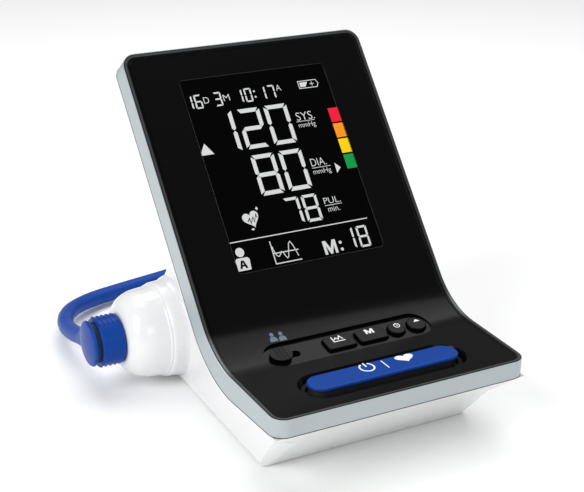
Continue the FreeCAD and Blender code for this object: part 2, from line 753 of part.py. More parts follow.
hose_rest = 4.4
entry_heading = 9.0
exit_angle = 0.0
coil_entry = V(30.5, 210.8, hose_rest)
entry_turn = math.radians(entry_heading)
coil_centre = coil_entry + V(math.sin(entry_turn), -math.cos(entry_turn), 0) * coil_radius
coil_sweep = 720 + 90 + entry_heading - exit_angle
coil_rise = coil_turn_rise * coil_sweep / 360
hose_points = [
    stub_foot + stub_way * stub_end,
    hose_first,
    V(-63.6, 174.2, 5.8),
    V(-47.0, 192.6, hose_rest),
    V(-23.2, 202.4, hose_rest),
    V(3.0, 205.6, hose_rest),
    coil_entry,
]
hose_tube = tube(hose_points, hose_radius, hose_bore)

coil_low = hose_rest - hose_radius
coil_high = hose_rest + coil_rise + hose_radius
ring_base = V(coil_centre.x, coil_centre.y, coil_low)
hose_coil = Part.makeCylinder(coil_radius + hose_radius + 0.1, coil_high - coil_low, ring_base)
hose_coil = hose_coil.cut(Part.makeCylinder(coil_radius - hose_radius - 0.1, 60, ring_base - V(0, 0, 9)))
hose_coil = hose_coil.makeFillet(3.0, [e for e in hose_coil.Edges if len(e.Vertexes) == 1])

exit_turn = math.radians(exit_angle)
tail_start = coil_centre + V(coil_radius * math.cos(exit_turn), coil_radius * math.sin(exit_turn), 0)
tail_start.z = hose_rest + coil_rise
tail_points = [
    tail_start,
    tail_start + V(0.6, -21, -2.4),
    tail_start + V(3.0, -44, -13.6),
    tail_start + V(5.6, -66, -14.5),
]
hose_tail = tube(tail_points, hose_radius, hose_bore)

tie_height = coil_high - coil_low + 1.7
tie = box(10.4, 7, tie_height, V(0, 0, tie_height / 2 + 0.1)).cut(
    box(7.6, 9, tie_height - 1.3, V(0, 0, tie_height / 2 + 0.1)))
tie.translate(V(coil_radius, 0, 0))
tie.rotate(V(0, 0, 0), V(0, 0, 1), 200)
hose_tie = tie.translated(V(coil_centre.x, coil_centre.y, 0))

tail_way = tail_points[-1] - tail_points[-2]
tail_way.normalize()
cuff_connector = Part.Face(Part.makePolygon([V(a, r, 0) for a, r in [
    (-7.0, 1.3), (-7.0, 1.9), (0.0, 1.98), (0.0, 4.4), (1.0, 5.0), (7.0, 5.0), (8.0, 4.3), (13.0, 4.3),
    (14.0, 5.0), (16.0, 5.0), (17.0, 4.2), (17.0, 3.2), (28.5, 3.2), (29.5, 2.6), (29.5, 1.3),
    (-7.0, 1.3)]])).revolve(V(0, 0, 0), V(1, 0, 0), 360)
cuff_connector.Placement = FreeCAD.Placement(tail_points[-1], FreeCAD.Rotation(V(1, 0, 0), tail_way))

# ---- battery bay, cells and door ----

bay_half = 29.5
cell_rows = [first_cell_y + cell_pitch * i for i in range(4)]
bay_front = cell_rows[0] - cell_radius - 0.4
bay_back = cell_rows[-1] + cell_radius + 0.4
bay_roof = cell_z + cell_radius + 0.4
tray_foot = door_high + 0.35
battery_tray = Part.makeBox(2 * bay_half + 2.6, bay_back - bay_front + 2.6, bay_roof + 1.3 - tray_foot,
                            V(-bay_half - 1.3, bay_front - 1.3, tray_foot))
battery_tray = battery_tray.cut(Part.makeBox(2 * bay_half, bay_back - bay_front, bay_roof,
                                             V(-bay_half, bay_front, 0)))
for left, right in zip(cell_rows[:-1], cell_rows[1:]):
    battery_tray = battery_tray.fuse(box(34, 0.4, 4.5, V(0, (left + right) / 2, bay_roof - 2.2)))

cells = []
contacts = []
for i, y in enumerate(cell_rows):
    way = 1 if i % 2 == 0 else -1
    start = V(-way * (cell_length / 2), y, cell_z)
    cell = rod(cell_radius - 0.1, start, start + V(way * (cell_length - 1.2), 0, 0))
    cell = cell.fuse(rod(2.7, start, start + V(way * cell_length, 0, 0)))
    cells.append(cell)
    for side in (-1, 1):
        plate = box(0.4, 11, 9, V(side * (bay_half - 0.25), y, cell_z))
        seat = V(side * (bay_half - 0.3), y, cell_z)
        touch = V(side * (cell_length / 2 + 0.02), y, cell_z)
        if side == way:
            bump = rod(2.4, seat, touch)
        else:
            bump = Part.makeCone(3.6, 2.2, (touch - seat).Length, seat, touch - seat)
        contacts.append(plate.fuse(bump))
battery_cells = Part.makeCompound(cells)
battery_contacts = Part.makeCompound(contacts)

battery_door = Part.makeBox(2 * door_half, door_far_y - door_hinge_y, door_high - door_low,
                            V(-door_half, door_hinge_y, door_low))
battery_door = battery_door.fuse(rod((door_high - door_low) / 2, V(-door_half, door_hinge_y, hinge_z),
                                     V(door_half, door_hinge_y, hinge_z)))
battery_door = battery_door.fuse(rod(0.8, V(-door_half - pin_reach, door_hinge_y, hinge_z),
                                     V(door_half + pin_reach, door_hinge_y, hinge_z)))
battery_door = battery_door.cut(box(18, 5, 0.9, V(0, door_far_y - 5, door_low + 0.3)))
for i in range(5):
    battery_door = battery_door.cut(box(18, 0.8, 0.5, V(0, door_far_y - 11 - 2 * i, door_low + 0.1)))
for x in (-18, 0, 18):
    battery_door = battery_door.fuse(box(1.2, 40, 0.25, V(x, 60, door_high + 0.1)))

# ---- pump, valve and inner tubes ----

pump_line = V(0, pump_y, pump_z)
pump_motor = rod(12.0, pump_line + V(-8, 0, 0), pump_line + V(24, 0, 0))
pump_motor = pump_motor.fuse(rod(4.0, pump_line, pump_line + V(26.5, 0, 0)))
pump_head = rounded_block(25, 25, -10, 10, 4.0)
pump_head = pump_head.fuse(Part.makeCylinder(9, 2.5, V(0, 0, -12.4)))
pump_head.rotate(V(0, 0, 0), V(0, 1, 0), 90)
pump_head.translate(pump_line + V(-18.1, 0, 0))
pump_outlet = V(-15, pump_y + 12.5, 28.0)
pump_head = pump_head.fuse(rod(barb_radius, pump_outlet - V(0, 1, 0), pump_outlet + V(0, 2.6, 0)))
pump_clamp = rod(13.4, pump_line + V(2, 0, 0), pump_line + V(12, 0, 0))
pump_clamp = pump_clamp.fuse(box(10, 20, 8, V(7, pump_y - 4, bay_roof + 1.35 + 4)))
pump_clamp = pump_clamp.cut(rod(12.05, pump_line + V(0, 0, 0), pump_line + V(14, 0, 0)))
pump_clamp = pump_clamp.cut(box(40, 60, 20, V(7, pump_y, bay_roof + 1.3 - 10)))

# a small block joins the air port, pump, sensor and valve
joint_centre = V(-15, 110, 25.5)
tube_junction = box(8, 11, 18, joint_centre)
junction_left = V(-19, hub_y, hub_radius)
junction_front = V(-15, 104.5, pump_outlet.z)
junction_right = V(-11, 110, 22.5)
junction_top = V(-15, 105.8, 34.5)
valve_inlet = V(8, junction_right.y, junction_right.z)
barbs = [(junction_left, V(-5, 0, 0)), (junction_front, V(0, -2.6, 0)),
         (junction_right, V(5, 0, 0)), (junction_top, V(0, 0, 5))]
for foot, reach in barbs:
    tube_junction = tube_junction.fuse(rod(barb_radius, foot - reach * 0.3, foot + reach))
release_valve = box(14, 11, 12, V(15, junction_right.y, junction_right.z))
release_valve = release_valve.fuse(rod(barb_radius, valve_inlet + V(1, 0, 0), valve_inlet - V(5, 0, 0)))


def straight_tube(start, end):
    return rod(inner_tube_radius, start, end).cut(rod(inner_tube_bore, start, end))


sensor_mouth = screen_start + turned(screen_slope) * sensor_along
sensor_mouth = sensor_mouth - outward(screen_slope) * (board_top + 5.3) + V(sensor_x, 0, 0)
sensor_drop = (junction_top.y - sensor_mouth.y) / outward(screen_slope).y
sensor_bend = sensor_mouth + outward(screen_slope) * sensor_drop
air_tubes = Part.makeCompound([
    straight_tube(V(-35.9, hub_y, hub_radius), junction_left - V(0.1, 0, 0)),
    straight_tube(pump_outlet + V(0, 0.1, 0), junction_front - V(0, 0.1, 0)),
    straight_tube(junction_right + V(0.1, 0, 0), valve_inlet - V(0.1, 0, 0)),
    tube([sensor_mouth, sensor_bend, junction_top + V(0, 0, 0.1)], inner_tube_radius, inner_tube_bore),
])

# ---- shared origin: middle of the footprint at the table, hose left out ----

nodes = {
    "trim_ring": trim_ring,
    "bezel_frame": bezel_frame,
    "front_cover": front_cover,
    "display_lens": display_lens,
    "lcd_panel": lcd_panel,
    "lcd_backlight": lcd_backlight,
    "lcd_holder": lcd_holder,
    "main_board": main_board,
    "pressure_sensor": pressure_sensor,
    "buzzer": buzzer,
    "key_board": key_board,
    "tact_switches": tact_switches,
    "slide_switch": slide_switch,
    "board_screws": board_screws,
    "start_button": start_button,
    "start_carrier": start_carrier,
    "graph_button": key_shapes["graph_button"],
    "memory_button": key_shapes["memory_button"],
    "clock_button": key_shapes["clock_button"],
    "alarm_button": key_shapes["alarm_button"],
    "user_switch": user_switch,
    "rear_housing": rear_housing,
    "case_screws": case_screws,
    "port_dome": port_dome,
    "port_socket": port_socket,
    "port_seal": port_seal,
    "socket_plate": socket_plate,
    "battery_tray": battery_tray,
    "battery_cells": battery_cells,
    "battery_contacts": battery_contacts,
    "battery_door": battery_door,
    "pump_motor": pump_motor,
    "pump_head": pump_head,
    "pump_clamp": pump_clamp,
    "release_valve": release_valve,
    "tube_junction": tube_junction,
    "air_tubes": air_tubes,
    "plug_nozzle": plug_nozzle,
    "plug_grip": plug_grip,
    "plug_cap": plug_cap,
    "plug_ring": plug_ring,
    "hose_tube": hose_tube,
    "hose_coil": hose_coil,
    "hose_tie": hose_tie,
    "hose_tail": hose_tail,
    "cuff_connector": cuff_connector,
}
shift = V((dome_nose - panel_width / 2) / 2, -(hub_y + hub_radius) / 2, 0)
for name, shape in nodes.items():
    moved = shape.translated(shift)
    print(name, moved.isValid(), len(moved.Solids), round(moved.Volume, 1), round(moved.BoundBox.ZMin, 2))
    moved.exportStep("parts/" + name + ".step")
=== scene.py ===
import json
import math

import bpy
from mathutils import Matrix, Vector


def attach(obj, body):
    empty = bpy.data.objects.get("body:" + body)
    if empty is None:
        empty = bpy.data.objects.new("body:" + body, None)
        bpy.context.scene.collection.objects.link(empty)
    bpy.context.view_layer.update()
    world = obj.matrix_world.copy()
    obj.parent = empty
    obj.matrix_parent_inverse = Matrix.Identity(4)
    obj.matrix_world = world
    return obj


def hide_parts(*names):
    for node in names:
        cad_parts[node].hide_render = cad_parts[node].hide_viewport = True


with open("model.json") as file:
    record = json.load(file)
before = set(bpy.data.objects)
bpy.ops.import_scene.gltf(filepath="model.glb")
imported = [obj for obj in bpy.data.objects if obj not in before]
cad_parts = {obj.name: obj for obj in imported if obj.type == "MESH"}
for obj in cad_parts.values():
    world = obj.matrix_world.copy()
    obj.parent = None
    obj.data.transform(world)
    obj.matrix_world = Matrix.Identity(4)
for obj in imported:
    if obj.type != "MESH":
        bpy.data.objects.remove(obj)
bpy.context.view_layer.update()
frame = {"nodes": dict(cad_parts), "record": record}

mm = 0.001
weldWithin = 0.000002
smoothUnder = 40
bpy.context.scene.view_settings.view_transform = "Standard"


# small tools

def linearColour(hexValue):
    parts = [int(hexValue[i:i + 2], 16) / 255 for i in (0, 2, 4)]
    return [p / 12.92 if p <= 0.04045 else ((p + 0.055) / 1.055) ** 2.4 for p in parts] + [1.0]


def addNode(tree, kind, settings, links):
    node = tree.nodes.new(kind)
    for name, value in settings.items():
        if isinstance(name, int) or name in node.inputs:
            node.inputs[name].default_value = value
        else:
            setattr(node, name, value)
    for name, source in links.items():
        tree.links.new(source, node.inputs[name])
    return node


def startMaterial(name, settings):
    material = bpy.data.materials.new(name)
    material.use_nodes = True
    tree = material.node_tree
    shader = tree.nodes["Principled BSDF"]
    for socket, value in settings.items():
        shader.inputs[socket].default_value = value
    place = tree.nodes.new("ShaderNodeTexCoord").outputs["Object"]
    return material, tree, shader, place


def nothingSelected():
    if bpy.context.mode != "OBJECT":
        bpy.ops.object.mode_set(mode="OBJECT")
    bpy.ops.object.select_all(action="DESELECT")


def selectOnly(pieces):
    nothingSelected()
    for piece in pieces:
        piece.select_set(True)
    bpy.context.view_layer.objects.active = pieces[0]


def joined(name, pieces):
    selectOnly(pieces)
    if len(pieces) > 1:
        bpy.ops.object.join()
    piece = bpy.context.view_layer.objects.active
    piece.name = name
    piece.data.name = name
    return piece


def copyAt(piece, matrix):
    # a copy with its own mesh, moved to its place for good
    copy = piece.copy()
    copy.data = piece.data.copy()
    copy.data.transform(matrix)
    bpy.context.collection.objects.link(copy)
    return copy


def modified(piece, kind, settings):
    selectOnly([piece])
    modifier = piece.modifiers.new(kind.title(), kind)
    for name, value in settings.items():
        setattr(modifier, name, value)
    bpy.ops.object.modifier_apply(modifier=modifier.name)
    return piece


def finished(piece, body, material):
    # everything into the mesh, faces outward, its material on, and off with its body
    selectOnly([piece])
    bpy.ops.object.transform_apply(location=True, rotation=True, scale=True)
    bpy.ops.object.mode_set(mode="EDIT")
    bpy.ops.mesh.select_all(action="SELECT")
    bpy.ops.mesh.remove_doubles(threshold=weldWithin)
    bpy.ops.mesh.normals_make_consistent(inside=False)
    bpy.ops.object.mode_set(mode="OBJECT")
    bpy.ops.object.shade_smooth_by_angle(angle=math.radians(smoothUnder))
    piece.data.materials.clear()
    piece.data.materials.append(material)
    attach(piece, body)
    return piece


def addRelief(tree, shader, look, height):
    # dents and grain too fine to model
    relief = addNode(tree, "ShaderNodeBump", {
        "Strength": look["relief"],
        "Distance": look["reliefMm"] * mm,
    }, {"Height": height})
    tree.links.new(relief.outputs["Normal"], shader.inputs["Normal"])


def mouldedFinish(material, tree, shader, place, look):
    # what a mould leaves: a slow drift of the colour, and a fine grain in gloss and relief
    drift = addNode(tree, "ShaderNodeTexNoise", {
        "Scale": 1 / (look["driftMm"] * mm),
    }, {"Vector": place})
    grain = addNode(tree, "ShaderNodeTexNoise", {
        "Scale": 1 / (look["grainMm"] * mm),
        "Detail": 3.0,
    }, {"Vector": place})
    tint = addNode(tree, "ShaderNodeMixRGB", {
        "Color1": linearColour(look["colour"]),
        "Color2": linearColour(look["deeper"]),
    }, {"Fac": drift.outputs["Fac"]})
    polish = addNode(tree, "ShaderNodeMapRange", {
        "To Min": look["gloss"][0],
        "To Max": look["gloss"][1],
    }, {"Value": grain.outputs["Fac"]})
    addRelief(tree, shader, look, grain.outputs["Fac"])
    tree.links.new(tint.outputs["Color"], shader.inputs["Base Color"])
    tree.links.new(polish.outputs["Result"], shader.inputs["Roughness"])
    return material


# camera, for the view three quarters from the front left

cameraLook = {
    "position": (-0.2485, -0.4407, 0.2522),
    "target": (-0.024747, -0.0372, 0.081143),
    "lens": 87.71,
    "clipStart": 0.01,
}


def addCamera():
    position = Vector(cameraLook["position"])
    direction = Vector(cameraLook["target"]) - position
    bpy.ops.object.camera_add(
        location=position, rotation=direction.to_track_quat("-Z", "Y").to_euler())
    camera = bpy.context.object
    camera.data.lens = cameraLook["lens"]
    camera.data.clip_start = cameraLook["clipStart"]
    bpy.context.scene.camera = camera


nothingSelected()
addCamera()
print("camera set")


# the air hose: straight out of the plug, round behind the monitor, a neat coil, and on to the cuff's
# connector

hoseLook = {
    "diameter": 0.007,
    "length": 0.722,
    "start": [
        (-0.0634522, 0.0580020, 0.0168103),
        (-0.0642, 0.0837, 0.0094),
        (-0.0590, 0.1074, 0.0074),
        (-0.0436, 0.1246, 0.0050),
        (-0.0180, 0.1318, 0.0044),
        (0.0082, 0.1372, 0.0044),
    ],
    "coilCentre": (0.0411752, 0.1090309),
    "coilRadius": 0.035,
    "coilStart": 99,
    "coilTurned": 819,
    "coilLow": 0.0044,
    "turnRise": 0.007,
    "climb": (250, 345),
    "pointsPerTurn": 18,
    "stepsAlong": 10,
    "stepsRound": 5,
    "end": [
        (0.0767752, 0.0880309, 0.017925),
        (0.0791752, 0.0650309, 0.006725),
        (0.0817752, 0.0430309, 0.005825),
    ],
}


def coilHeight(turned):
    # a turn lies flat, and climbs by one diameter before it meets its own beginning
    whole, part = divmod(turned, 360)
    climbFrom, climbTo = hoseLook["climb"]
    climb = min(max((part - climbFrom) / (climbTo - climbFrom), 0), 1)
    return hoseLook["coilLow"] + hoseLook["turnRise"] * (whole + climb * climb * (3 - 2 * climb))


def hosePoints():
    look = hoseLook
    steps = round(look["coilTurned"] / 360 * look["pointsPerTurn"])
    points = list(look["start"])
    for step in range(steps + 1):
        turned = look["coilTurned"] * step / steps
        angle = math.radians(look["coilStart"] - turned)
        points.append((
            look["coilCentre"][0] + look["coilRadius"] * math.cos(angle),
            look["coilCentre"][1] + look["coilRadius"] * math.sin(angle),
            coilHeight(turned),
        ))
    return points + look["end"]


def airHose(material):
    curve = bpy.data.curves.new("air_hose", "CURVE")
    curve.dimensions = "3D"
    curve.resolution_u = hoseLook["stepsAlong"]
    curve.bevel_depth = hoseLook["diameter"] / 2
    curve.bevel_resolution = hoseLook["stepsRound"]
    curve.use_fill_caps = True
    spline = curve.splines.new("NURBS")
    points = hosePoints()
    spline.points.add(len(points) - 1)
    for point, place in zip(spline.points, points):
        point.co = (*place, 1)
    spline.order_u = 3
    spline.use_endpoint_u = True
    hose = bpy.data.objects.new("air_hose", curve)
    bpy.context.collection.objects.link(hose)
    curve.materials.append(material)
    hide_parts("hose_tube", "hose_coil", "hose_tail")
    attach(hose, "air_plug")
    return hose


def satinVinylHose():
    # soft PVC tube, extruded: an even satin blue with a faint haze along it
    look = {"colour": "1C489E", "deeper": "184193", "driftMm": 7, "grainMm": 0.35,
            "gloss": (0.34, 0.44), "relief": 0.1, "reliefMm": 0.02}
    return mouldedFinish(*startMaterial("satinVinylHose", {
        "IOR": 1.53, "Specular IOR Level": 0.1}), look)


hoseMaterial = satinVinylHose()
hose = airHose(hoseMaterial)
print("hose laid")


# the tapered sleeve where the hose leaves the plug

sleeveLook = {
    "foot": (-0.0631, 0.0459, 0.0203),
    "way": (-0.0279503, 0.9604742, -0.2769621),
    "from": 0.0085,
    "length": 0.0150,
    "rootRadius": 0.0047,
    "tipRadius": 0.0037,
    "tipRounding": 0.00025,
    "roundingSteps": 3,
    "sides": 64,
}


def hoseSleeve(material):
    look = sleeveLook
    way = Vector(look["way"]).normalized()
    nothingSelected()
    bpy.ops.mesh.primitive_cone_add(
        vertices=look["sides"], radius1=look["rootRadius"], radius2=look["tipRadius"],
        depth=look["length"],
        location=Vector(look["foot"]) + way * (look["from"] + look["length"] / 2),
        rotation=way.to_track_quat("Z", "Y").to_euler())
    sleeve = bpy.context.object
    sleeve.name = "hose_sleeve"
    modified(sleeve, "BEVEL", {
        "width": look["tipRounding"], "segments": look["roundingSteps"], "limit_method": "ANGLE"})
    return finished(sleeve, "air_plug", material)


# the strap that holds the coil's turns, a flat band pulled round them and closed over itself

strapLook = {
    "angle": 200,
    "holeRadius": 0.00365,
    "thick": 0.0007,
    "wide": 0.006,
    "softEdge": 0.0002,
    "edgeSteps": 2,
    "overlapLong": 0.0062,
    "overlapLift": 0.7,
    "sides": 48,
}


def tieNylon():
    # white nylon strap, moulded flat
    look = {"colour": "E2E2DC", "deeper": "D4D4CC", "driftMm": 4, "grainMm": 0.4,
            "gloss": (0.4, 0.5), "relief": 0.2, "reliefMm": 0.02}
    return mouldedFinish(*startMaterial("naturalNylon", {
        "IOR": 1.53, "Subsurface Weight": 0.1}), look)


def moveVertices(piece, chosen, shift):
    selectOnly([piece])
    bpy.ops.object.mode_set(mode="EDIT")
    bpy.ops.mesh.select_mode(type="VERT")
    bpy.ops.mesh.select_all(action="DESELECT")
    bpy.ops.object.mode_set(mode="OBJECT")
    for vertex in piece.data.vertices:
        vertex.select = chosen(vertex.co)
    bpy.ops.object.mode_set(mode="EDIT")
    bpy.ops.transform.translate(value=shift)
    bpy.ops.object.mode_set(mode="OBJECT")


def strapBand(radius, thick):
    # a round band, pulled long over two turns of hose
    look = strapLook
    nothingSelected()
    bpy.ops.mesh.primitive_cylinder_add(
        vertices=look["sides"], radius=radius, depth=look["wide"], end_fill_type="NOTHING",
        location=(0, 0, 0), rotation=(math.radians(90), 0, 0))
    band = bpy.context.object
    bpy.ops.object.transform_apply(location=True, rotation=True, scale=True)
    half = hoseLook["turnRise"] / 2
    offMiddle = 0.01 * mm
    moveVertices(band, lambda place: place.z > offMiddle, (0, 0, half))
    moveVertices(band, lambda place: place.z < -offMiddle, (0, 0, -half))
    return modified(band, "SOLIDIFY", {"thickness": thick, "offset": 1})


def hoseStrap(material):
    # the band, and over part of it the piece of its own end that laps it
    look = strapLook
    band = strapBand(look["holeRadius"], look["thick"])
    overlap = strapBand(look["holeRadius"] + look["thick"] * look["overlapLift"], look["thick"])
    bpy.ops.object.mode_set(mode="EDIT")
    for side in (-1, 1):
        bpy.ops.mesh.select_all(action="SELECT")
        bpy.ops.mesh.bisect(
            plane_co=(0, 0, side * look["overlapLong"] / 2), plane_no=(0, 0, side),
            use_fill=True, clear_outer=True)
    bpy.ops.mesh.select_all(action="SELECT")
    bpy.ops.mesh.bisect(plane_co=(0, 0, 0), plane_no=(1, 0, 0), use_fill=True, clear_inner=True)
    bpy.ops.object.mode_set(mode="OBJECT")
    strap = modified(joined("hose_strap", [band, overlap]), "BEVEL", {
        "width": look["softEdge"], "segments": look["edgeSteps"], "limit_method": "ANGLE"})
    angle = math.radians(look["angle"])
    turned = (hoseLook["coilStart"] - look["angle"]) % 360
    middle = (
        hoseLook["coilCentre"][0] + hoseLook["coilRadius"] * math.cos(angle),
        hoseLook["coilCentre"][1] + hoseLook["coilRadius"] * math.sin(angle),
        coilHeight(turned) + hoseLook["turnRise"] / 2,
    )
    strap.data.transform(Matrix.Translation(middle) @ Matrix.Rotation(angle, 4, "Z"))
    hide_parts("hose_tie")
    return finished(strap, "air_plug", material)


strapMaterial = tieNylon()
strap = hoseStrap(strapMaterial)
sleeve = hoseSleeve(hoseMaterial)


# finishes

def silverPaint():
    # sprayed silver lacquer on ABS: even, cool, softly metallic, with fine flake
    look = {"colour": "B4BCBE", "deeper": "ABB4B7", "driftMm": 40, "grainMm": 0.18,
            "gloss": (0.36, 0.46), "relief": 0.12, "reliefMm": 0.01}
    return mouldedFinish(*startMaterial("silverLacquer", {
        "Metallic": 0.35, "Coat Weight": 0.15}), look)


def glossBlack():
    # black ABS from a polished mould: deep, nearly without a sheen of its own
    look = {"colour": "070708", "deeper": "09090A", "driftMm": 30, "grainMm": 0.9,
            "gloss": (0.17, 0.21), "relief": 0.03, "reliefMm": 0.01}
    return mouldedFinish(*startMaterial("polishedBlackAbs", {
        "IOR": 1.53, "Specular IOR Level": 0.08}), look)


def smokedAcrylic():
    # hard-coated smoked acrylic over a dark display: the blackest and smoothest face
    look = {"colour": "020203", "deeper": "030304", "driftMm": 50, "grainMm": 2.0,
            "gloss": (0.08, 0.11), "relief": 0.02, "reliefMm": 0.005}
    return mouldedFinish(*startMaterial("smokedAcrylic", {
        "IOR": 1.49, "Specular IOR Level": 0.05}), look)


def glossWhite():
    # white ABS, high polish: bright with soft edges and a faint waviness
    look = {"colour": "E8E9E9", "deeper": "E3E4E5", "driftMm": 35, "grainMm": 1.2,
            "gloss": (0.14, 0.20), "relief": 0.05, "reliefMm": 0.01}
    return mouldedFinish(*startMaterial("polishedWhiteAbs", {"IOR": 1.53, "Coat Weight": 0.2}), look)


def glossBlue():
    # through-coloured blue ABS: saturated, with a soft bright roll along its edges
    look = {"colour": "104196", "deeper": "0E3B8C", "driftMm": 12, "grainMm": 0.5,
            "gloss": (0.22, 0.3), "relief": 0.08, "reliefMm": 0.01}
    return mouldedFinish(*startMaterial("blueAbs", {"IOR": 1.53, "Specular IOR Level": 0.09}), look)


def keyBlack():
    # black keys with a light spark grain, a touch glossier on the caps' edges
    look = {"colour": "060607", "deeper": "080809", "driftMm": 6, "grainMm": 0.25,
            "gloss": (0.14, 0.2), "relief": 0.06, "reliefMm": 0.01}
    return mouldedFinish(*startMaterial("sparkedBlackKey", {
        "IOR": 1.53, "Specular IOR Level": 0.06}), look)


def displayGlass():
    # the liquid-crystal cell: dark grey-green glass with a faint sheen
    look = {"colour": "20262A", "deeper": "262D30", "driftMm": 20, "grainMm": 1.0,
            "gloss": (0.05, 0.09), "relief": 0.02, "reliefMm": 0.005}
    return mouldedFinish(*startMaterial("liquidCrystalGlass", {"IOR": 1.52}), look)


def innerPlastic():
    # uncoloured ABS for parts nobody sees: warm grey-white, matt
    look = {"colour": "D8D6CF", "deeper": "CCCAC2", "driftMm": 15, "grainMm": 0.4,
            "gloss": (0.45, 0.6), "relief": 0.25, "reliefMm": 0.02}
    return mouldedFinish(*startMaterial("naturalAbs", {"IOR": 1.53}), look)


def darkNylon():
    # glass-filled black nylon: dark grey and slightly dry
    look = {"colour": "232326", "deeper": "2B2B2E", "driftMm": 8, "grainMm": 0.3,
            "gloss": (0.4, 0.55), "relief": 0.3, "reliefMm": 0.02}
    return mouldedFinish(*startMaterial("filledNylon", {"IOR": 1.53}), look)


def platedSteel():
    # bright zinc over steel: cool metal with a faint blotch
    look = {"colour": "B8BBBE", "deeper": "9EA2A8", "driftMm": 3, "grainMm": 0.2,
            "gloss": (0.25, 0.42), "relief": 0.2, "reliefMm": 0.01}
    return mouldedFinish(*startMaterial("zincPlatedSteel", {"Metallic": 1.0}), look)


def contactBrass():
    # nickel-flashed brass strip: pale yellow metal, brushed by the stamping
    look = {"colour": "C9B27A", "deeper": "B9A068", "driftMm": 4, "grainMm": 0.25,
            "gloss": (0.25, 0.4), "relief": 0.2, "reliefMm": 0.01}
    return mouldedFinish(*startMaterial("stampedBrass", {"Metallic": 1.0}), look)


def softRubber():
    # moulded nitrile: black, dull, slightly dusty
    look = {"colour": "1C1C1D", "deeper": "262627", "driftMm": 4, "grainMm": 0.3,
            "gloss": (0.6, 0.8), "relief": 0.3, "reliefMm": 0.02}
    return mouldedFinish(*startMaterial("nitrileRubber", {"IOR": 1.5}), look)


def clearSilicone():
    # silicone tube: milky, and slightly see-through where it is thin
    look = {"colour": "DDE2E2", "deeper": "CBD3D3", "driftMm": 5, "grainMm": 0.5,
            "gloss": (0.3, 0.4), "relief": 0.1, "reliefMm": 0.01}
    return mouldedFinish(*startMaterial("milkySilicone", {
        "IOR": 1.41, "Transmission Weight": 0.25}), look)


def boardResist():
    # green solder resist over copper: darker lines where there is no copper under it
    look = {"copper": "1F6B3A", "bare": "155229", "trackMm": 1.6, "tracksPerTile": 4, "gap": 0.05,
            "relief": 0.2, "reliefMm": 0.03}
    material, tree, shader, place = startMaterial("solderResist", {"IOR": 1.5, "Roughness": 0.35})
    tracks = addNode(tree, "ShaderNodeTexBrick", {
        "Scale": 1 / (look["trackMm"] * mm) / look["tracksPerTile"],
        "Color1": linearColour(look["copper"]),
        "Color2": linearColour(look["copper"]),
        "Mortar": linearColour(look["bare"]),
        "Mortar Size": look["gap"],
    }, {"Vector": place})
    addRelief(tree, shader, look, tracks.outputs["Fac"])
    tree.links.new(tracks.outputs["Color"], shader.inputs["Base Color"])
    return material


def cellJacket():
    # shrink film round a battery cell: dark, with a copper-coloured end
    look = {"film": "2A2C30", "end": "B9763C", "bandMm": 18.0, "wrinkleMm": 2.5,
            "relief": 0.15, "reliefMm": 0.05}
    material, tree, shader, place = startMaterial("shrinkFilm", {
        "Roughness": 0.3, "Metallic": 0.3, "IOR": 1.5})
    axes = addNode(tree, "ShaderNodeSeparateXYZ", {}, {"Vector": place})
    wrinkle = addNode(tree, "ShaderNodeTexNoise", {
        "Scale": 1 / (look["wrinkleMm"] * mm),
    }, {"Vector": place})
    side = addNode(tree, "ShaderNodeMath", {
        "operation": "GREATER_THAN",
        1: look["bandMm"] * mm,
    }, {0: axes.outputs["X"]})
    tint = addNode(tree, "ShaderNodeMixRGB", {
        "Color1": linearColour(look["film"]),
        "Color2": linearColour(look["end"]),
    }, {"Fac": side.outputs["Value"]})
    addRelief(tree, shader, look, wrinkle.outputs["Fac"])
    tree.links.new(tint.outputs["Color"], shader.inputs["Base Color"])
    return material


def darkChrome():
    # the trim's smoked bright finish: dark metal with a clean edge
    look = {"colour": "4E5052", "deeper": "454749", "driftMm": 20, "grainMm": 0.4,
            "gloss": (0.22, 0.3), "relief": 0.05, "reliefMm": 0.01}
    return mouldedFinish(*startMaterial("smokedChrome", {"Metallic": 0.6}), look)


slotMaterials = {
    "silver_paint": silverPaint(),
    "black_gloss": glossBlack(),
    "smoked_window": smokedAcrylic(),
    "white_gloss": glossWhite(),
    "blue_gloss": glossBlue(),
    "blue_hose": hoseMaterial,
    "grey_key": keyBlack(),
    "lcd_glass": displayGlass(),
    "inner_plastic": innerPlastic(),
    "board_green": boardResist(),
    "dark_part": darkNylon(),
    "steel": platedSteel(),
    "brass_contact": contactBrass(),
    "cell_jacket": cellJacket(),
    "seal_rubber": softRubber(),
    "clear_silicone": clearSilicone(),
    "tie_plastic": strapMaterial,
}
ownMaterials = {"trim_ring": darkChrome()}


def finishCadNodes():
    slots = {part["node"]: part["material_slot"] for part in frame["record"]["subparts"]}
    for name, node in frame["nodes"].items():
        material = ownMaterials.get(name, slotMaterials[slots[name]])
        for slot in node.material_slots:
            slot.material = material


finishCadNodes()
print("finishes on the frame's pieces")


# the curved front face, seen from the side, in mm: deck, fold and screen; screenFrom is where the flat
# screen starts, along the face from its lip

face = {
    "middle": 5.2,
    "lip": (-67.2, 31.9),
    "deckSlope": 4.05,
    "deckLength": 34.30,
    "foldCentre": (-35.25278, 66.34235),
    "foldRadius": 32.1,
    "screenStart": (-10.04064, 46.47383),
    "screenSlope": 51.76,
    "screenFrom": 61.03,
    "stripMiddle": (-27.34673, 35.94547),
    "stripSlope": 14.6231,
    "coverDepth": 0.25,
    "lensDepth": 0.35,
    "printLift": 0.02,
    "printHeight": 0.03,
}


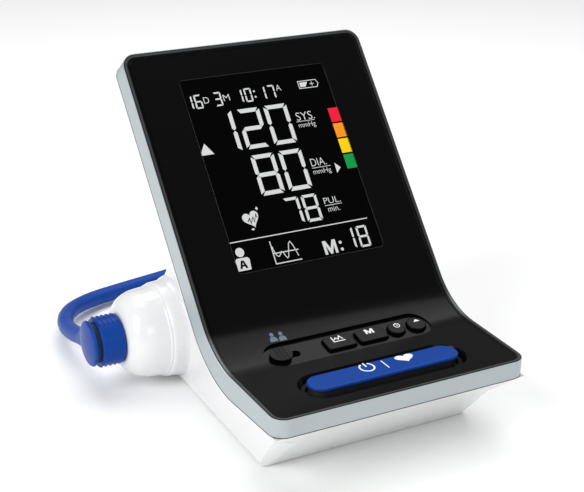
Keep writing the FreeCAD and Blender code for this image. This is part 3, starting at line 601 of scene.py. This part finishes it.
def facePlace(across, along, depth):
    # where a drawing lies: across from the middle, along the face from its lip, and how deep under it
    deck = math.radians(face["deckSlope"])
    screen = math.radians(face["screenSlope"])
    foldLength = face["foldRadius"] * (screen - deck)
    if along < face["deckLength"]:
        slope = deck
        y = face["lip"][0] + along * math.cos(deck)
        z = face["lip"][1] + along * math.sin(deck)
    elif along < face["deckLength"] + foldLength:
        slope = deck + (along - face["deckLength"]) / face["foldRadius"]
        y = face["foldCentre"][0] + face["foldRadius"] * math.sin(slope)
        z = face["foldCentre"][1] - face["foldRadius"] * math.cos(slope)
    else:
        slope = screen
        rest = along - face["deckLength"] - foldLength
        y = face["screenStart"][0] + rest * math.cos(screen)
        z = face["screenStart"][1] + rest * math.sin(screen)
    out = Vector((0, -math.sin(slope), math.cos(slope)))
    place = Vector((face["middle"] + across, y, z)) + out * (face["printLift"] - depth)
    return Matrix.Translation(place * mm) @ Matrix.Rotation(slope, 4, "X")


# flat plates for what the display, the keys and the start bar show, drawn in mm: across, and along the
# face

def drawnPlate(outlines, thick=face["printHeight"]):
    # closed outlines make one plate, and an outline inside another cuts a hole in it
    curve = bpy.data.curves.new("drawing", "CURVE")
    curve.dimensions = "2D"
    curve.fill_mode = "BOTH"
    curve.extrude = thick / 2 * mm
    for outline in outlines:
        spline = curve.splines.new("POLY")
        spline.points.add(len(outline) - 1)
        for point, (across, along) in zip(spline.points, outline):
            point.co = (across * mm, along * mm, 0, 1)
        spline.use_cyclic_u = True
    plate = bpy.data.objects.new("drawing", curve)
    bpy.context.collection.objects.link(plate)
    selectOnly([plate])
    bpy.ops.object.convert(target="MESH")
    return bpy.context.object


wordLook = {"rawHeight": 0.5, "offset": -0.01, "curveSteps": 4}


def word(body, left, low, right, high):
    # generic lettering, fitted into its box
    nothingSelected()
    bpy.ops.object.text_add(location=(0, 0, 0))
    text = bpy.context.object
    text.data.body = body
    text.data.extrude = wordLook["rawHeight"]
    text.data.offset = wordLook["offset"]
    text.data.resolution_u = wordLook["curveSteps"]
    bpy.ops.object.convert(target="MESH")
    text = bpy.context.object
    corners = [Vector(corner) for corner in text.bound_box]
    least = [min(corner[i] for corner in corners) for i in range(3)]
    most = [max(corner[i] for corner in corners) for i in range(3)]
    wide = (right - left) * mm / (most[0] - least[0])
    tall = (high - low) * mm / (most[1] - least[1])
    thick = face["printHeight"] * mm / (most[2] - least[2])
    text.data.transform(
        Matrix.Translation((left * mm - least[0] * wide, low * mm - least[1] * tall, 0))
        @ Matrix.Diagonal((wide, tall, thick, 1)))
    return text


def letterM(left, low, right, high, stroke):
    # a bold plain M
    wide = right - left
    tall = high - low
    half = [(0, 0), (0, 1), (1.25 * stroke / wide, 1), (0.5, 0.4)]
    inner = [(0.5 - 0.4 * stroke / wide, 0), (stroke / wide, 0.64), (stroke / wide, 0)]
    shape = half + [(1 - u, v) for u, v in half[-2::-1]] + [(1 - u, v) for u, v in inner[::-1]] + inner
    return [(left + u * wide, low + v * tall) for u, v in shape]


def strokeOutline(points, width):
    # the outline of a line of even width through the points, its sharp corners kept from running out
    leastTurn = 0.4
    left = []
    right = []
    for place, point in enumerate(points):
        here = Vector(point)
        before = Vector(points[max(place - 1, 0)])
        after = Vector(points[min(place + 1, len(points) - 1)])
        ways = [(b - a).normalized() for a, b in ((before, here), (here, after)) if (b - a).length > 0]
        way = sum(ways, Vector((0, 0))).normalized()
        side = Vector((-way.y, way.x)) * (width / 2 / max(way.dot(ways[0]), leastTurn))
        left.append(here + side)
        right.append(here - side)
    return [tuple(p) for p in left + right[::-1]]


def ovalOutline(x, y, radiusX, radiusY, count=28):
    turns = [2 * math.pi * i / count for i in range(count)]
    return [(x + radiusX * math.cos(t), y + radiusY * math.sin(t)) for t in turns]


def boxOutline(left, low, right, high):
    return [(left, low), (right, low), (right, high), (left, high)]


segmentsOf = {
    "0": "abcdef", "1": "bc", "2": "abged", "3": "abgcd", "6": "afgedc", "7": "abc", "8": "abcdefg",
}


def figureOutlines(figure, left, low, right, high, stroke):
    # one seven-segment figure with mitred bars, leaning very slightly to the right
    look = {"gap": 0.07, "corner": 0.32, "lean": 0.012}
    wide = right - left
    tall = high - low
    half = tall / 2
    gap = look["gap"] * stroke
    cut = look["corner"] * stroke
    top = [(cut + gap, 0), (wide - cut - gap, 0), (wide - stroke - gap, -stroke),
           (stroke + gap, -stroke)]
    side = [(0, -cut - gap), (stroke, -stroke - gap), (stroke, stroke / 2 + gap - half),
            (stroke / 2, gap - half), (0, stroke / 2 + gap - half)]
    middle = [(stroke / 2 + gap, 0), (stroke + gap, stroke / 2), (wide - stroke - gap, stroke / 2),
              (wide - stroke / 2 - gap, 0), (wide - stroke - gap, -stroke / 2), (stroke + gap, -stroke / 2)]
    shapes = {
        "a": [(x, tall + y) for x, y in top],
        "d": [(x, -y) for x, y in top],
        "f": [(x, tall + y) for x, y in side],
        "b": [(wide - x, tall + y) for x, y in side],
        "e": [(x, -y) for x, y in side],
        "c": [(wide - x, -y) for x, y in side],
        "g": [(x, half + y) for x, y in middle],
    }
    outlines = []
    for name in segmentsOf[figure]:
        outlines.append([(left + x + (y - half) * look["lean"], low + y) for x, y in shapes[name]])
    return outlines


def laidOnFace(name, pieces, depth, alongFrom=0.0):
    # the drawing bends with the face, a hair above the surface that carries it
    piece = joined(name, pieces)
    for vertex in piece.data.vertices:
        across, along, height = [v / mm for v in vertex.co]
        vertex.co = facePlace(across, along + alongFrom, depth) @ Vector((0, 0, height * mm))
    return piece


def laidOnScreen(name, pieces):
    return laidOnFace(name, pieces, face["lensDepth"], face["screenFrom"])


def laidOnKeys(name, pieces, height):
    # keys lie in their own slope, in the strip's frame
    slope = math.radians(face["stripSlope"])
    out = Vector((0, -math.sin(slope), math.cos(slope)))
    place = Vector((face["middle"], *face["stripMiddle"])) + out * (height + face["printLift"])
    piece = joined(name, pieces)
    piece.data.transform(Matrix.Translation(place * mm) @ Matrix.Rotation(slope, 4, "X"))
    return piece


# figures on the display

displayLook = {
    "readings": [
        ("1", -24.6, 62.9, -14.5, 81.0, 1.7), ("2", -12.5, 63.45, -2.4, 80.35, 1.7),
        ("0", -0.45, 63.45, 9.75, 80.35, 1.7),
        ("8", -12.6, 43.85, -2.5, 60.75, 1.7), ("0", -0.5, 43.85, 9.7, 60.75, 1.7),
        ("7", -5.0, 30.25, 1.7, 41.4, 1.15), ("8", 3.0, 30.25, 9.7, 41.4, 1.15),
    ],
    "clock": [
        ("1", -32.1, 82.9, -28.95, 88.8, 0.62), ("6", -28.05, 82.9, -24.95, 88.8, 0.62),
        ("3", -19.7, 82.9, -16.5, 88.8, 0.62), ("1", -10.5, 82.9, -7.4, 88.8, 0.62),
        ("0", -6.4, 82.9, -3.3, 88.8, 0.62), ("1", -0.3, 82.9, 2.8, 88.8, 0.62),
        ("7", 3.9, 82.9, 7.0, 88.8, 0.62),
    ],
    "memory": [("1", 15.6, 16.35, 20.25, 25.4, 0.85), ("8", 21.9, 16.3, 26.6, 25.1, 0.85)],
    "dots": [(-2.0, 87.1, 0.42), (-2.0, 84.7, 0.42), (13.45, 20.0, 0.65), (13.45, 17.2, 0.65)],
    "dotSides": 16,
    "words": [
        ("D", -24.25, 84.7, -22.0, 87.35), ("M", -15.8, 84.7, -13.1, 87.35),
        ("A", 7.75, 86.0, 10.0, 88.5),
        ("SYS.", 12.5, 72.2, 20.6, 75.6), ("mmHg", 12.4, 68.5, 20.0, 71.2),
        ("DIA.", 12.2, 52.35, 19.0, 55.6), ("mmHg", 12.0, 48.4, 20.0, 51.1),
        ("PUL.", 12.3, 36.25, 19.7, 38.8), ("min.", 13.0, 32.9, 18.2, 35.1),
    ],
    "memoryLetter": (5.75, 16.15, 11.5, 21.7, 1.15),
    "rules": [
        ([(12.0, 71.75), (20.1, 71.75)], 0.22), ([(12.0, 51.65), (20.3, 51.65)], 0.22),
        ([(12.2, 35.6), (19.8, 35.6)], 0.22), ([(-32.8, 27.8), (28.5, 27.65)], 0.38),
    ],
    "battery": {
        "shell": [(18.0, 88.85), (26.3, 88.85), (27.25, 87.1), (26.3, 85.35), (18.0, 85.45)],
        "hollow": [(18.3, 88.55), (26.1, 88.55), (26.9, 87.1), (26.1, 85.65), (18.3, 85.75)],
        "charge": [(18.75, 88.15), (22.4, 88.15), (21.1, 86.15), (18.75, 86.15)],
        "plus": [[(23.3, 87.1), (25.1, 87.1)], [(24.2, 86.2), (24.2, 88.0)]],
        "plusWidth": 0.27,
    },
    "arrows": [
        [(-29.6, 68.5), (-32.7, 63.75), (-26.7, 63.75)],
        [(22.4, 52.4), (22.2, 48.1), (24.5, 50.15)],
    ],
    "heart": {"middle": (-20.05, 35.2), "wide": 7.0, "tall": 6.6, "turned": 11},
    "pulse": [(-21.9, 34.7), (-20.8, 36.0), (-20.7, 33.9), (-19.3, 36.3), (-19.2, 34.2), (-17.8, 37.2),
              (-17.6, 35.8)],
    "heartDots": [(-16.7, 39.4, 0.6, 0.75, 4), (-20.7, 31.5, 0.75, 0.5, 4)],
    "person": {
        "head": (-29.05, 23.55, 1.8, 1.85),
        "body": [(-32.1, 20.4), (-31.2, 21.3), (-26.7, 21.3), (-25.9, 20.4), (-26.4, 16.3), (-31.8, 16.3)],
        "letter": [(-30.8, 17.1), (-29.7, 20.3), (-28.5, 20.3), (-27.4, 17.1), (-28.4, 17.1),
                   (-28.65, 17.9), (-29.5, 17.9), (-29.8, 17.1)],
        "letterHole": [(-29.4, 18.6), (-28.8, 18.6), (-29.1, 19.5)],
    },
    "graphAxes": [(-15.7, 25.6), (-15.8, 16.45), (-4.6, 16.45)],
    "graphWave": [(-15.4, 23.4), (-15.1, 21.4), (-14.5, 19.6), (-13.7, 19.1), (-12.8, 19.9), (-12.2, 20.9),
                  (-11.6, 20.5), (-11.0, 18.9), (-10.4, 17.9), (-9.8, 18.4), (-9.0, 21.0), (-8.3, 23.4),
                  (-7.5, 24.2), (-6.8, 23.0), (-6.2, 20.6), (-5.6, 18.0)],
    "graphLine": [(-15.6, 20.6), (-4.9, 20.5)],
    "lineWidth": 0.42,
    "waveWidth": 0.34,
}


def heartOutline(middle, wide, tall, turned, count=36):
    # the usual heart curve, scaled to its width and height
    points = []
    spin = math.radians(turned)
    for step in range(count):
        t = 2 * math.pi * step / count
        x = math.sin(t) ** 3 * wide / 2
        rise = 13 * math.cos(t) - 5 * math.cos(2 * t) - 2 * math.cos(3 * t) - math.cos(4 * t) + 2.5
        y = rise / 29 * tall
        points.append((middle[0] + x * math.cos(spin) - y * math.sin(spin),
                       middle[1] + x * math.sin(spin) + y * math.cos(spin)))
    return points


def displayReadings():
    outlines = []
    for figure in displayLook["readings"]:
        outlines += figureOutlines(*figure)
    return laidOnScreen("display_readings", [drawnPlate(outlines)])


def displayClock():
    outlines = []
    for figure in displayLook["clock"] + displayLook["memory"]:
        outlines += figureOutlines(*figure)
    for x, y, radius in displayLook["dots"]:
        outlines.append(ovalOutline(x, y, radius, radius, displayLook["dotSides"]))
    return laidOnScreen("display_clock", [drawnPlate(outlines)])


def displayWords():
    pieces = [word(*entry) for entry in displayLook["words"]]
    pieces.append(drawnPlate([letterM(*displayLook["memoryLetter"])]))
    for points, width in displayLook["rules"]:
        pieces.append(drawnPlate([strokeOutline(points, width)]))
    return laidOnScreen("display_words", pieces)


def displaySymbols():
    look = displayLook
    battery = look["battery"]
    person = look["person"]
    lineWidth = look["lineWidth"]
    drawings = [
        [battery["shell"], battery["hollow"]],
        [battery["charge"]],
        *[[arrow] for arrow in look["arrows"]],
        [heartOutline(**look["heart"]), strokeOutline(look["pulse"], lineWidth)],
        [ovalOutline(*dot) for dot in look["heartDots"]],
        [ovalOutline(*person["head"])],
        [person["body"], person["letter"], person["letterHole"]],
        [strokeOutline(look["graphAxes"], lineWidth)],
        [strokeOutline(look["graphLine"], lineWidth)],
        [strokeOutline(look["graphWave"], look["waveWidth"])],
        *[[strokeOutline(line, battery["plusWidth"])] for line in battery["plus"]],
    ]
    return laidOnScreen("display_symbols", [drawnPlate(outlines) for outlines in drawings])


def litLiquidCrystal():
    # clear segments of a reversed display with the lamp behind: an even cool white that barely glows
    look = {"colour": "BEBFBE", "deeper": "B5B6B6", "driftMm": 9, "grainMm": 0.5,
            "gloss": (0.35, 0.5), "relief": 0.05, "reliefMm": 0.005}
    return mouldedFinish(*startMaterial("litLiquidCrystal", {
        "IOR": 1.5, "Emission Color": linearColour("E6E9EA"), "Emission Strength": 0.2}), look)


litMaterial = litLiquidCrystal()
for piece in (displayReadings(), displayClock(), displayWords(), displaySymbols()):
    finished(piece, "base", litMaterial)
print("display figures drawn")


# the level scale beside the readings, four coloured bars

scaleLook = {
    "left": 27.4,
    "right": 32.1,
    "red": (69.45, 75.55, "F2183A", "E3142F"),
    "orange": (62.65, 68.75, "F79620", "F08B12"),
    "yellow": (55.9, 62.0, "F9D208", "F3C800"),
    "green": (49.1, 55.15, "079C48", "048F3E"),
}


def printedInk(name, colour, deeper):
    # screen-printed ink: flat and saturated, with the faint mesh of the screen in its gloss
    look = {"colour": colour, "deeper": deeper, "driftMm": 5, "grainMm": 0.3,
            "gloss": (0.35, 0.5), "relief": 0.1, "reliefMm": 0.005}
    return mouldedFinish(*startMaterial(name, {"IOR": 1.5, "Specular IOR Level": 0.15}), look)


for colour in ("red", "orange", "yellow", "green"):
    low, high, tint, deeper = scaleLook[colour]
    box = boxOutline(scaleLook["left"], low, scaleLook["right"], high)
    bar = laidOnScreen("level_" + colour, [drawnPlate([box])])
    finished(bar, "base", printedInk(colour + "Ink", tint, deeper))


# marks on the keys, on the fold and on the start bar

marksLook = {
    "lineWidth": 0.42,
    "oblongKeyTop": -0.2,
    "roundKeyTop": -0.1,
    "barDepth": -1.3,
    "graph": [
        [(-6.5, 3.0), (-6.5, 0.1), (-1.7, 0.1)],
        [(-6.0, 1.0), (-5.0, 2.2), (-4.2, 1.1), (-3.2, 2.9), (-2.3, 0.9)],
    ],
    "memory": (7.7, 0.3, 11.3, 2.95, 0.72),
    "clock": {
        "rings": [(21.6, 1.2, 1.3, 1.3), (21.6, 1.2, 0.95, 0.95)],
        "hands": [(21.6, 1.9), (21.6, 1.15), (22.1, 1.15)],
        "handWidth": 0.26,
    },
    "alarm": [(29.1, 0.9), (31.9, 0.9), (30.5, 2.3)],
    "people": [(-27.65, 49.6), (-24.05, 49.3)],
    "person": {
        "size": 1.9,
        "body": [(-0.82, -1.0), (0.82, -1.0), (0.74, -0.25), (0.4, 0.12), (-0.4, 0.12), (-0.74, -0.25)],
        "headUp": 0.66,
        "headRadii": (0.42, 0.46),
        "headSides": 18,
    },
    "power": {"middle": (-6.0, 18.0), "radius": 2.75, "width": 0.62, "from": 118, "turned": 304,
              "steps": 24, "stem": (1.15, 0.15)},
    "bar": [(1.1, 20.0), (1.25, 14.4)],
    "heart": {"middle": (10.3, 17.9), "wide": 7.6, "tall": 5.2, "turned": 0},
}


def personOutlines(x, y):
    look = marksLook["person"]
    size = look["size"]
    radiusX, radiusY = look["headRadii"]
    return [
        ovalOutline(x, y + look["headUp"] * size, radiusX * size, radiusY * size, look["headSides"]),
        [(x + u * size, y + v * size) for u, v in look["body"]],
    ]


def graphKeyMark():
    pieces = [drawnPlate([strokeOutline(line, marksLook["lineWidth"])]) for line in marksLook["graph"]]
    return laidOnKeys("graph_mark", pieces, marksLook["oblongKeyTop"])


def memoryKeyMark():
    letter = drawnPlate([letterM(*marksLook["memory"])])
    return laidOnKeys("memory_mark", [letter], marksLook["oblongKeyTop"])


def clockKeyMark():
    look = marksLook["clock"]
    ring = drawnPlate([ovalOutline(*oval) for oval in look["rings"]])
    hands = drawnPlate([strokeOutline(look["hands"], look["handWidth"])])
    return laidOnKeys("clock_mark", [ring, hands], marksLook["roundKeyTop"])


def alarmKeyMark():
    return laidOnKeys("alarm_mark", [drawnPlate([marksLook["alarm"]])], marksLook["roundKeyTop"])


def userMark():
    people = [drawnPlate(personOutlines(*place)) for place in marksLook["people"]]
    return laidOnFace("user_mark", people, face["coverDepth"])


def powerMark():
    look = marksLook["power"]
    x, y = look["middle"]
    radius = look["radius"]
    turns = [math.radians(look["from"] + look["turned"] * i / look["steps"])
             for i in range(look["steps"] + 1)]
    ring = [(x + radius * math.cos(t), y + radius * math.sin(t)) for t in turns]
    stem = [(x, y + radius * share) for share in look["stem"]]
    return [drawnPlate([strokeOutline(line, look["width"])]) for line in (ring, stem)]


def startMark():
    pieces = powerMark()
    pieces.append(drawnPlate([strokeOutline(marksLook["bar"], marksLook["lineWidth"])]))
    pieces.append(drawnPlate([heartOutline(**marksLook["heart"])]))
    return laidOnFace("start_mark", pieces, marksLook["barDepth"])


whiteInk = printedInk("whiteInk", "F4F5F6", "E9ECEE")
greyInk = printedInk("greyInk", "6B7986", "5F6D7A")
finished(graphKeyMark(), "graph_button", whiteInk)
finished(memoryKeyMark(), "memory_button", whiteInk)
finished(clockKeyMark(), "clock_button", whiteInk)
finished(alarmKeyMark(), "alarm_button", whiteInk)
finished(userMark(), "base", greyInk)
finished(startMark(), "start_button", whiteInk)
print("marks drawn")


# the window's polished edge, a fine bead that catches the light

windowEdgeLook = {
    "half": 31.9, "near": 15.1, "far": 95.4, "corner": 1.5, "radius": 0.12, "cornerSteps": 6,
}
beadSteps = 3


def roundedLoop(half, near, far, corner, steps):
    # a rounded rectangle on the panel, as (across, along) points
    path = []
    inner = half - corner
    for x, y, start in ((inner, far - corner, 0), (-inner, far - corner, 90),
                        (-inner, near + corner, 180), (inner, near + corner, 270)):
        for step in range(steps + 1):
            turn = math.radians(start + 90 * step / steps)
            path.append((x + corner * math.cos(turn), y + corner * math.sin(turn)))
    return path


def closedBead(name, places, radius):
    # a thin round bead through the places, in metres
    curve = bpy.data.curves.new(name, "CURVE")
    curve.dimensions = "3D"
    curve.bevel_depth = radius * mm
    curve.bevel_resolution = beadSteps
    spline = curve.splines.new("POLY")
    spline.points.add(len(places) - 1)
    for point, place in zip(spline.points, places):
        point.co = (*place, 1)
    spline.use_cyclic_u = True
    bead = bpy.data.objects.new(name, curve)
    bpy.context.collection.objects.link(bead)
    selectOnly([bead])
    bpy.ops.object.convert(target="MESH")
    return bpy.context.object


def windowEdge():
    look = windowEdgeLook
    path = roundedLoop(look["half"], look["near"], look["far"], look["corner"], look["cornerSteps"])
    screenFrom = face["screenFrom"]
    places = [facePlace(x, y + screenFrom, face["lensDepth"]).translation for x, y in path]
    return closedBead("window_edge", places, look["radius"])


def polishedEdge():
    # flame-polished acrylic edge: the window's black, but a full bright glint
    look = {"colour": "050506", "deeper": "070708", "driftMm": 20, "grainMm": 1.5,
            "gloss": (0.14, 0.2), "relief": 0.02, "reliefMm": 0.005}
    return mouldedFinish(*startMaterial("polishedAcrylicEdge", {
        "IOR": 1.49, "Specular IOR Level": 0.35}), look)


finished(windowEdge(), "base", polishedEdge())
print("window edge laid")


# lines that run round the whole panel, each at its own inset from the panel's edge

panelLook = {"half": 52.5, "length": 169.88, "corner": 5.5, "cornerSteps": 10, "stepMm": 1.5}


def panelLoop(inset):
    look = panelLook
    corners = roundedLoop(
        look["half"] - inset, inset, look["length"] - inset, look["corner"] - inset,
        look["cornerSteps"])
    points = []
    for here, after in zip(corners, corners[1:] + corners[:1]):
        count = max(1, round(math.dist(here, after) / look["stepMm"]))
        for step in range(count):
            points.append((here[0] + (after[0] - here[0]) * step / count,
                           here[1] + (after[1] - here[1]) * step / count))
    return points


# the black bands that leave the rim's bright metal as one fine line: the outer band is painted shade, the
# shadow in the gap between the silver frame and the rim, and the inner band blacks out the rim's inner part
# next to the cover

rimLook = {"insets": (0.37, 0.52, 1.58, 2.38), "thick": 0.16}


def rimGapShadeBands():
    # the first two insets bound the painted shadow of the gap at the frame, the last two the black over the
    # rim's inner part
    plate = drawnPlate([panelLoop(inset) for inset in rimLook["insets"]], rimLook["thick"])
    return laidOnFace("rim_gap_shade_bands", [plate], 0.0)


finished(rimGapShadeBands(), "base", slotMaterials["black_gloss"])
print("rim bands laid")


# painted shade: a dark bead along the joint between the silver frame and the white housing, standing for
# the shadow down in the parting gap

gapShadeLook = {"inset": 0.08, "deep": 9.12, "deepFront": 7.12, "radius": 0.19}


def housingGapShade():
    look = gapShadeLook
    places = []
    for across, along in panelLoop(look["inset"]):
        share = min(along / face["deckLength"], 1)
        depth = look["deepFront"] + (look["deep"] - look["deepFront"]) * share
        places.append(facePlace(across, along, depth).translation)
    return closedBead("housing_gap_shade", places, look["radius"])


# the painted shade bead takes the black rubber finish
finished(housingGapShade(), "base", slotMaterials["seal_rubber"])
print("housing joint laid")


# grip ribs on the plug, the black ring in its groove that also paints the groove's shade, and the bright
# bead in the seam of the port's dome, all round the hub's axis

hubLook = {
    "y": 0.0459,
    "z": 0.0213,
    "ribRadius": 0.0099,
    "ribThick": 0.00036,
    "ribFrom": -0.0593,
    "ribPitch": 0.0019,
    "ribs": 5,
    "ribReach": 27,
    "gasketX": -0.0684,
    "gasketRadius": 0.0081,
    "gasketWidth": 0.0015,
    "gasketEdge": 0.0002,
    "beadX": -0.04205,
    "beadRadius": 0.01822,
    "beadThick": 0.00046,
    "beadSpread": 1.7,
    "stepsAround": 128,
    "stepsAcross": 12,
    "gasketSides": 96,
    "gasketEdgeSteps": 3,
}


def ringRoundHub(name, x, radius, thick):
    nothingSelected()
    bpy.ops.mesh.primitive_torus_add(
        location=(x, hubLook["y"], hubLook["z"]), rotation=(0, math.radians(90), 0),
        major_segments=hubLook["stepsAround"], minor_segments=hubLook["stepsAcross"],
        major_radius=radius, minor_radius=thick)
    ring = bpy.context.object
    ring.name = name
    bpy.ops.object.transform_apply(location=True, rotation=True, scale=True)
    return ring


def capGasketAndShade():
    # a black rubber ring sunk in the groove between grip and cap: a seal, and also painted shade that keeps
    # the groove dark
    look = hubLook
    nothingSelected()
    bpy.ops.mesh.primitive_cylinder_add(
        vertices=look["gasketSides"], radius=look["gasketRadius"], depth=look["gasketWidth"],
        location=(look["gasketX"], look["y"], look["z"]), rotation=(0, math.radians(90), 0))
    gasket = bpy.context.object
    gasket.name = "cap_gasket_and_shade"
    return modified(gasket, "BEVEL", {
        "width": look["gasketEdge"], "segments": look["gasketEdgeSteps"], "limit_method": "ANGLE"})


def seamBead():
    # wider than it is high, as the lip of one moulding over the next
    look = hubLook
    bead = ringRoundHub("seam_bead", look["beadX"], look["beadRadius"], look["beadThick"])
    bpy.ops.object.mode_set(mode="EDIT")
    bpy.ops.mesh.select_all(action="SELECT")
    bpy.ops.transform.resize(value=(look["beadSpread"], 1, 1))
    bpy.ops.object.mode_set(mode="OBJECT")
    return bead


def gripRibs():
    # one arc on top, its mirror below, and both again along the grip
    look = hubLook
    arc = ringRoundHub("rib", look["ribFrom"], look["ribRadius"], look["ribThick"])
    axis = Vector((look["ribFrom"], look["y"], look["z"]))
    bpy.ops.object.mode_set(mode="EDIT")
    for side in (-1, 1):
        turn = math.radians(look["ribReach"]) * side
        bpy.ops.mesh.select_all(action="SELECT")
        bpy.ops.mesh.bisect(
            plane_co=axis, plane_no=(0, math.cos(turn) * side, -math.sin(turn) * side),
            use_fill=True, clear_outer=True)
    bpy.ops.object.mode_set(mode="OBJECT")
    turnOver = Matrix.Translation(axis) @ Matrix.Rotation(math.pi, 4, "X") @ Matrix.Translation(-axis)
    below = copyAt(arc, turnOver)
    ribs = [arc, below]
    for step in range(1, look["ribs"]):
        shift = Matrix.Translation((-look["ribPitch"] * step, 0, 0))
        ribs += [copyAt(arc, shift), copyAt(below, shift)]
    return joined("grip_ribs", ribs)


finished(gripRibs(), "air_plug", slotMaterials["blue_gloss"])
# the groove ring, partly painted shade, takes the black rubber finish
finished(capGasketAndShade(), "air_plug", slotMaterials["seal_rubber"])
finished(seamBead(), "base", slotMaterials["white_gloss"])
print("ribs, gasket and bead modelled")


# lights and floor

studioLook = {
    "worldStrength": 0.3,
    "aim": (0, 0, 0.06),
    "lamps": {
        "topSoftbox": {"at": (0.25, 0.35, 1.1), "size": (1.3, 1.0), "power": 11},
        "leftSoftbox": {"at": (-1.1, -0.35, 0.75), "size": (0.5, 0.9), "power": 11},
        "frontSoftbox": {"at": (-0.1, -1.3, 0.6), "size": (0.9, 0.5), "power": 3},
    },
}


def addStudio():
    world = bpy.data.worlds.new("studio")
    bpy.context.scene.world = world
    world.use_nodes = True
    background = world.node_tree.nodes["Background"]
    background.inputs["Color"].default_value = linearColour("FFFFFF")
    background.inputs["Strength"].default_value = studioLook["worldStrength"]
    for name, lamp in studioLook["lamps"].items():
        aim = Vector(studioLook["aim"]) - Vector(lamp["at"])
        bpy.ops.object.light_add(
            type="AREA", location=lamp["at"], rotation=aim.to_track_quat("-Z", "Y").to_euler())
        light = bpy.context.object
        light.name = name
        light.data.shape = "RECTANGLE"
        light.data.size, light.data.size_y = lamp["size"]
        light.data.energy = lamp["power"]


floorLook = {"size": 12, "below": 0.0002, "colour": "FAFAFA", "roughness": 0.9, "glow": 0.03}


def palePaper():
    # matt backdrop paper: nearly white, without a highlight, and a little lit from within
    look = floorLook
    return startMaterial("palePaper", {
        "Roughness": look["roughness"],
        "Base Color": linearColour(look["colour"]),
        "Emission Color": linearColour("FFFFFF"),
        "Emission Strength": look["glow"],
    })[0]


def addFloor():
    nothingSelected()
    bpy.ops.mesh.primitive_plane_add(size=floorLook["size"], location=(0, 0, -floorLook["below"]))
    floor = bpy.context.object
    floor.name = "paleFloor"
    floor.data.materials.append(palePaper())


addStudio()
addFloor()
print("studio set")
